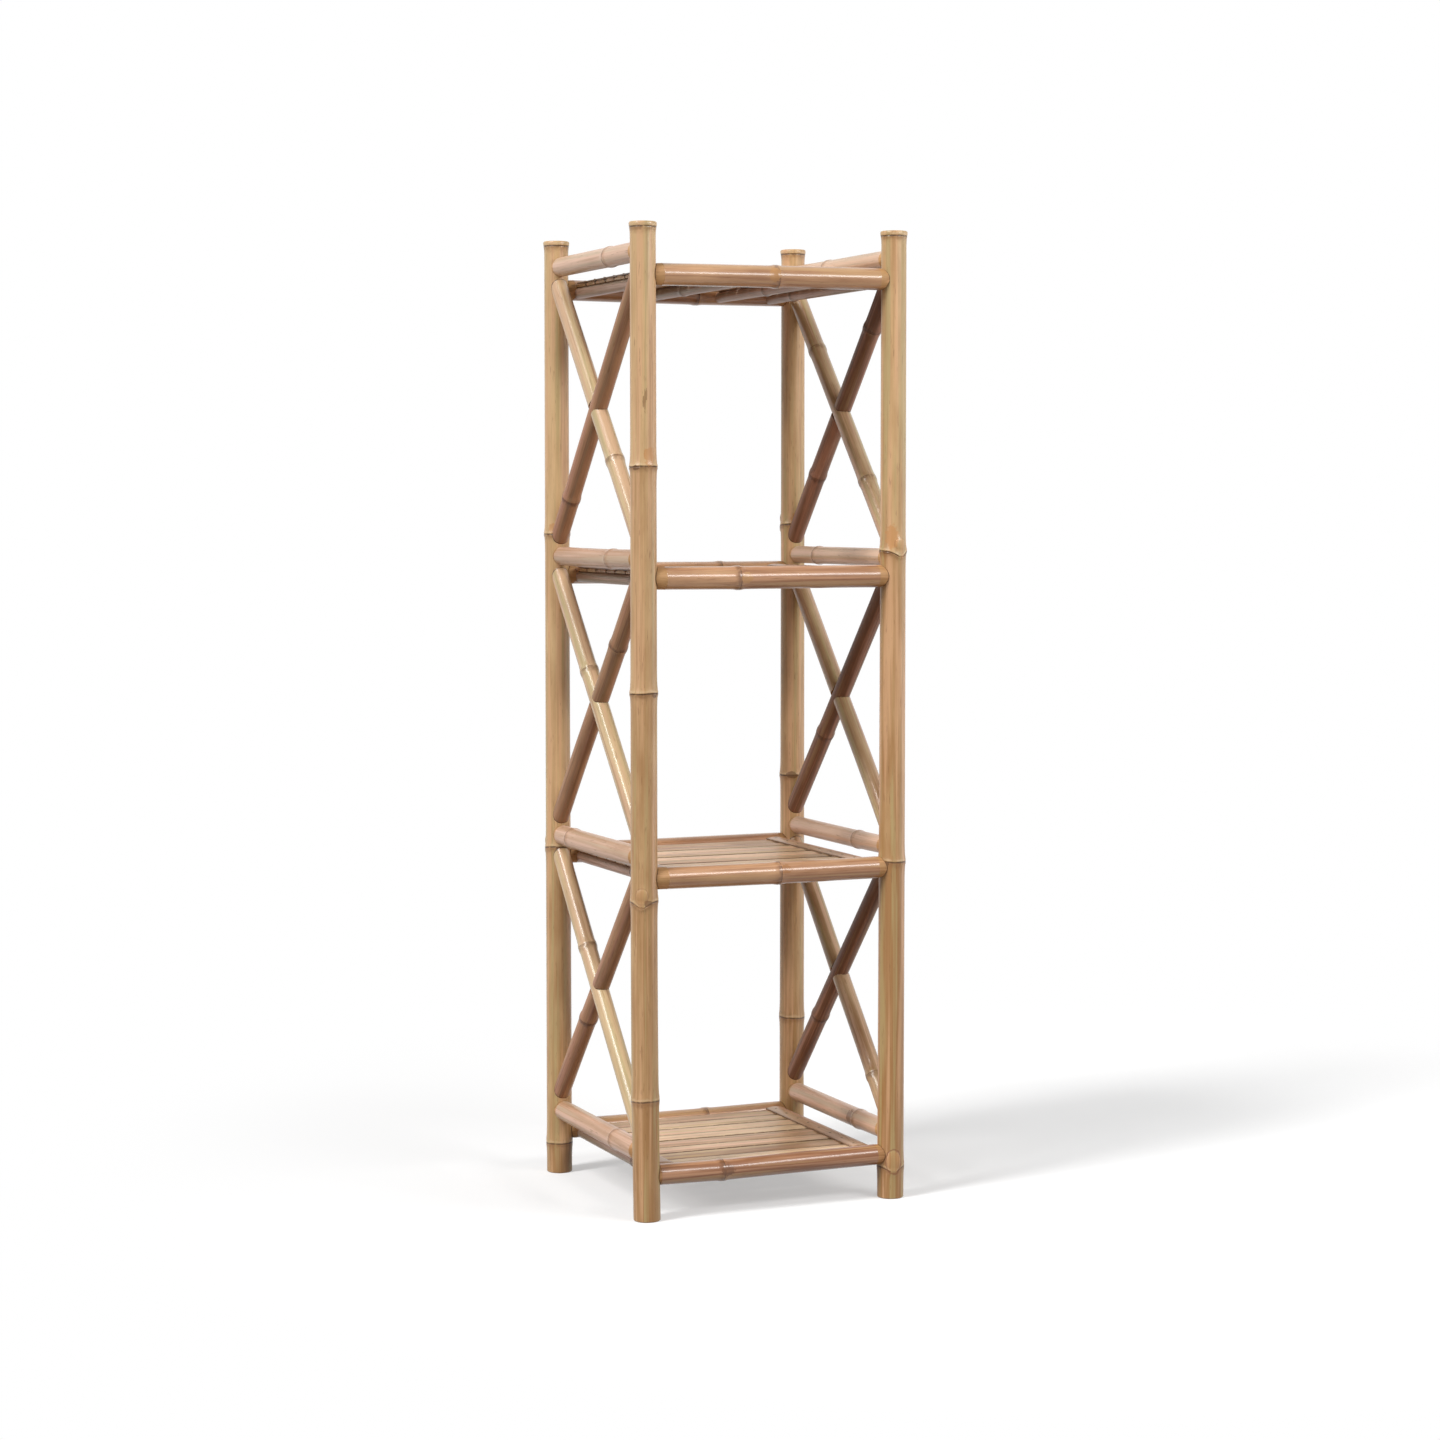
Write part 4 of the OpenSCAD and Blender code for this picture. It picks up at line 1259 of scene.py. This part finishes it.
bpy.ops.mesh.primitive_plane_add(size=FLOOR_SIZE, location=(0, 0, 0))
floor = bpy.context.object
floor.name = "floor"
sweep = bpy.data.materials.new("matt_white_sweep")
tree = empty_tree(sweep)
lit = node(tree, "ShaderNodeBsdfDiffuse", {"Color": linear(FLOOR_LIT)})
dim = node(tree, "ShaderNodeBsdfDiffuse", {"Color": linear(FLOOR_DIM)})
glow = node(tree, "ShaderNodeEmission", {"Color": linear(WHITE), "Strength": FLOOR_GLOW})
shown = node(tree, "ShaderNodeAddShader", {0: lit, 1: glow})
here = node(tree, "ShaderNodeTexCoord", {}, "Object")
far = node(tree, "ShaderNodeVectorMath", {0: here, 1: SHADOW_AT}, "Value", operation="DISTANCE")
fade = {"Value": far, "From Min": FADE_FROM, "From Max": FADE_TO}
fade = node(tree, "ShaderNodeMapRange", fade, **SMOOTH)
white = node(tree, "ShaderNodeEmission", {"Color": linear(WHITE), "Strength": 1.0})
shown = node(tree, "ShaderNodeMixShader", {0: fade, 1: shown, 2: white})
surface = node(tree, "ShaderNodeMixShader", {0: seen_rays(tree), 1: dim, 2: shown})
node(tree, "ShaderNodeOutputMaterial", {"Surface": surface})
paint(floor, sweep)
floor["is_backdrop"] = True

# %% [markdown]
# ## The lights
# A soft key light stands high at the left, a long softbox in front draws a bright line along each
# varnished rail, and a weak lamp at the right and a dim room lift the shadows. The key is three suns one
# above another, which act as one tall panel: its shadow is broad and soft, where a single sun would draw
# every rail.

# %% The lights
KEY_AZIMUTH = math.radians(-75)
KEY_HEIGHTS = [math.radians(degrees) for degrees in (28, 42, 56)]
# A sun's place has no effect, so it only stands clear of the unit
KEY_AWAY = 3
KEY_STRENGTH, KEY_ANGLE = 1.02, math.radians(13)
SOFTBOX_AT, SOFTBOX_AIM = Vector((1.4, -2.3, 2.1)), Vector((0, 0, 0.7))
SOFTBOX_W, SOFTBOX_H, SOFTBOX_POWER = 1.6, 0.5, 46
FILL_AT, FILL_AIM = Vector((2.6, -0.9, 0.7)), Vector((0, 0, 0.8))
FILL_W, FILL_H, FILL_POWER = 1.4, 1.6, 13
ROOM_STRENGTH = 0.27

for height in KEY_HEIGHTS:
    level = math.cos(height)
    toward_key = Vector((math.sin(KEY_AZIMUTH) * level, -math.cos(KEY_AZIMUTH) * level, math.sin(height)))
    bpy.ops.object.light_add(type="SUN", location=toward_key * KEY_AWAY)
    key = bpy.context.object
    key.rotation_mode = "QUATERNION"
    key.rotation_quaternion = toward_key.to_track_quat("Z", "Y")
    key.data.energy = KEY_STRENGTH
    key.data.angle = KEY_ANGLE

for place, aim, width, height, power in (
    (SOFTBOX_AT, SOFTBOX_AIM, SOFTBOX_W, SOFTBOX_H, SOFTBOX_POWER),
    (FILL_AT, FILL_AIM, FILL_W, FILL_H, FILL_POWER),
):
    bpy.ops.object.light_add(type="AREA", location=place)
    lamp = bpy.context.object
    lamp.rotation_mode = "QUATERNION"
    lamp.rotation_quaternion = (place - aim).to_track_quat("Z", "Y")
    lamp.data.shape = "RECTANGLE"
    lamp.data.size, lamp.data.size_y = width, height
    lamp.data.energy = power

world = bpy.data.worlds.new("bright_room")
bpy.context.scene.world = world
tree = empty_tree(world)
room = node(tree, "ShaderNodeBackground", {"Color": linear(WHITE), "Strength": ROOM_STRENGTH})
white = node(tree, "ShaderNodeBackground", {"Color": linear(WHITE), "Strength": 1.0})
both = node(tree, "ShaderNodeMixShader", {0: seen_rays(tree), 1: room, 2: white})
node(tree, "ShaderNodeOutputWorld", {"Surface": both})
bpy.context.scene.view_settings.view_transform = "Standard"

# %% [markdown]
# ## The camera
# It stands at the left, a metre up, and looks a little down. Its place and focal length were fitted to
# the lines of the picture. Guessing them by eye would be quicker, but then no edge would fall where it
# should.

# %% The camera
CAMERA_AT = Vector((-1.7512, -4.1324, 1.0053))
CAMERA_YAW, CAMERA_DOWN = math.radians(22.932), math.radians(4.016)
SENSOR, FOCAL_PX, IMAGE_PX = 36, 3059.8, 1440
bpy.ops.object.camera_add(location=CAMERA_AT, rotation=(math.pi / 2 - CAMERA_DOWN, 0, -CAMERA_YAW))
camera = bpy.context.object
camera.data.sensor_width = SENSOR
camera.data.lens = FOCAL_PX * SENSOR / IMAGE_PX
bpy.context.scene.camera = camera

# %% [markdown]
# ## Check the size
# A dressed model must still fill the space of the CAD model, or it won't fit what stands round it. Both
# boxes are measured and printed, which is surer than comparing two pictures.

# %% Check the size
VISUAL_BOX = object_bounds()
for low, high in zip(CAD_BOX, VISUAL_BOX):
    print("CAD corner", [round(v, 5) for v in low], "visual corner", [round(v, 5) for v in high])
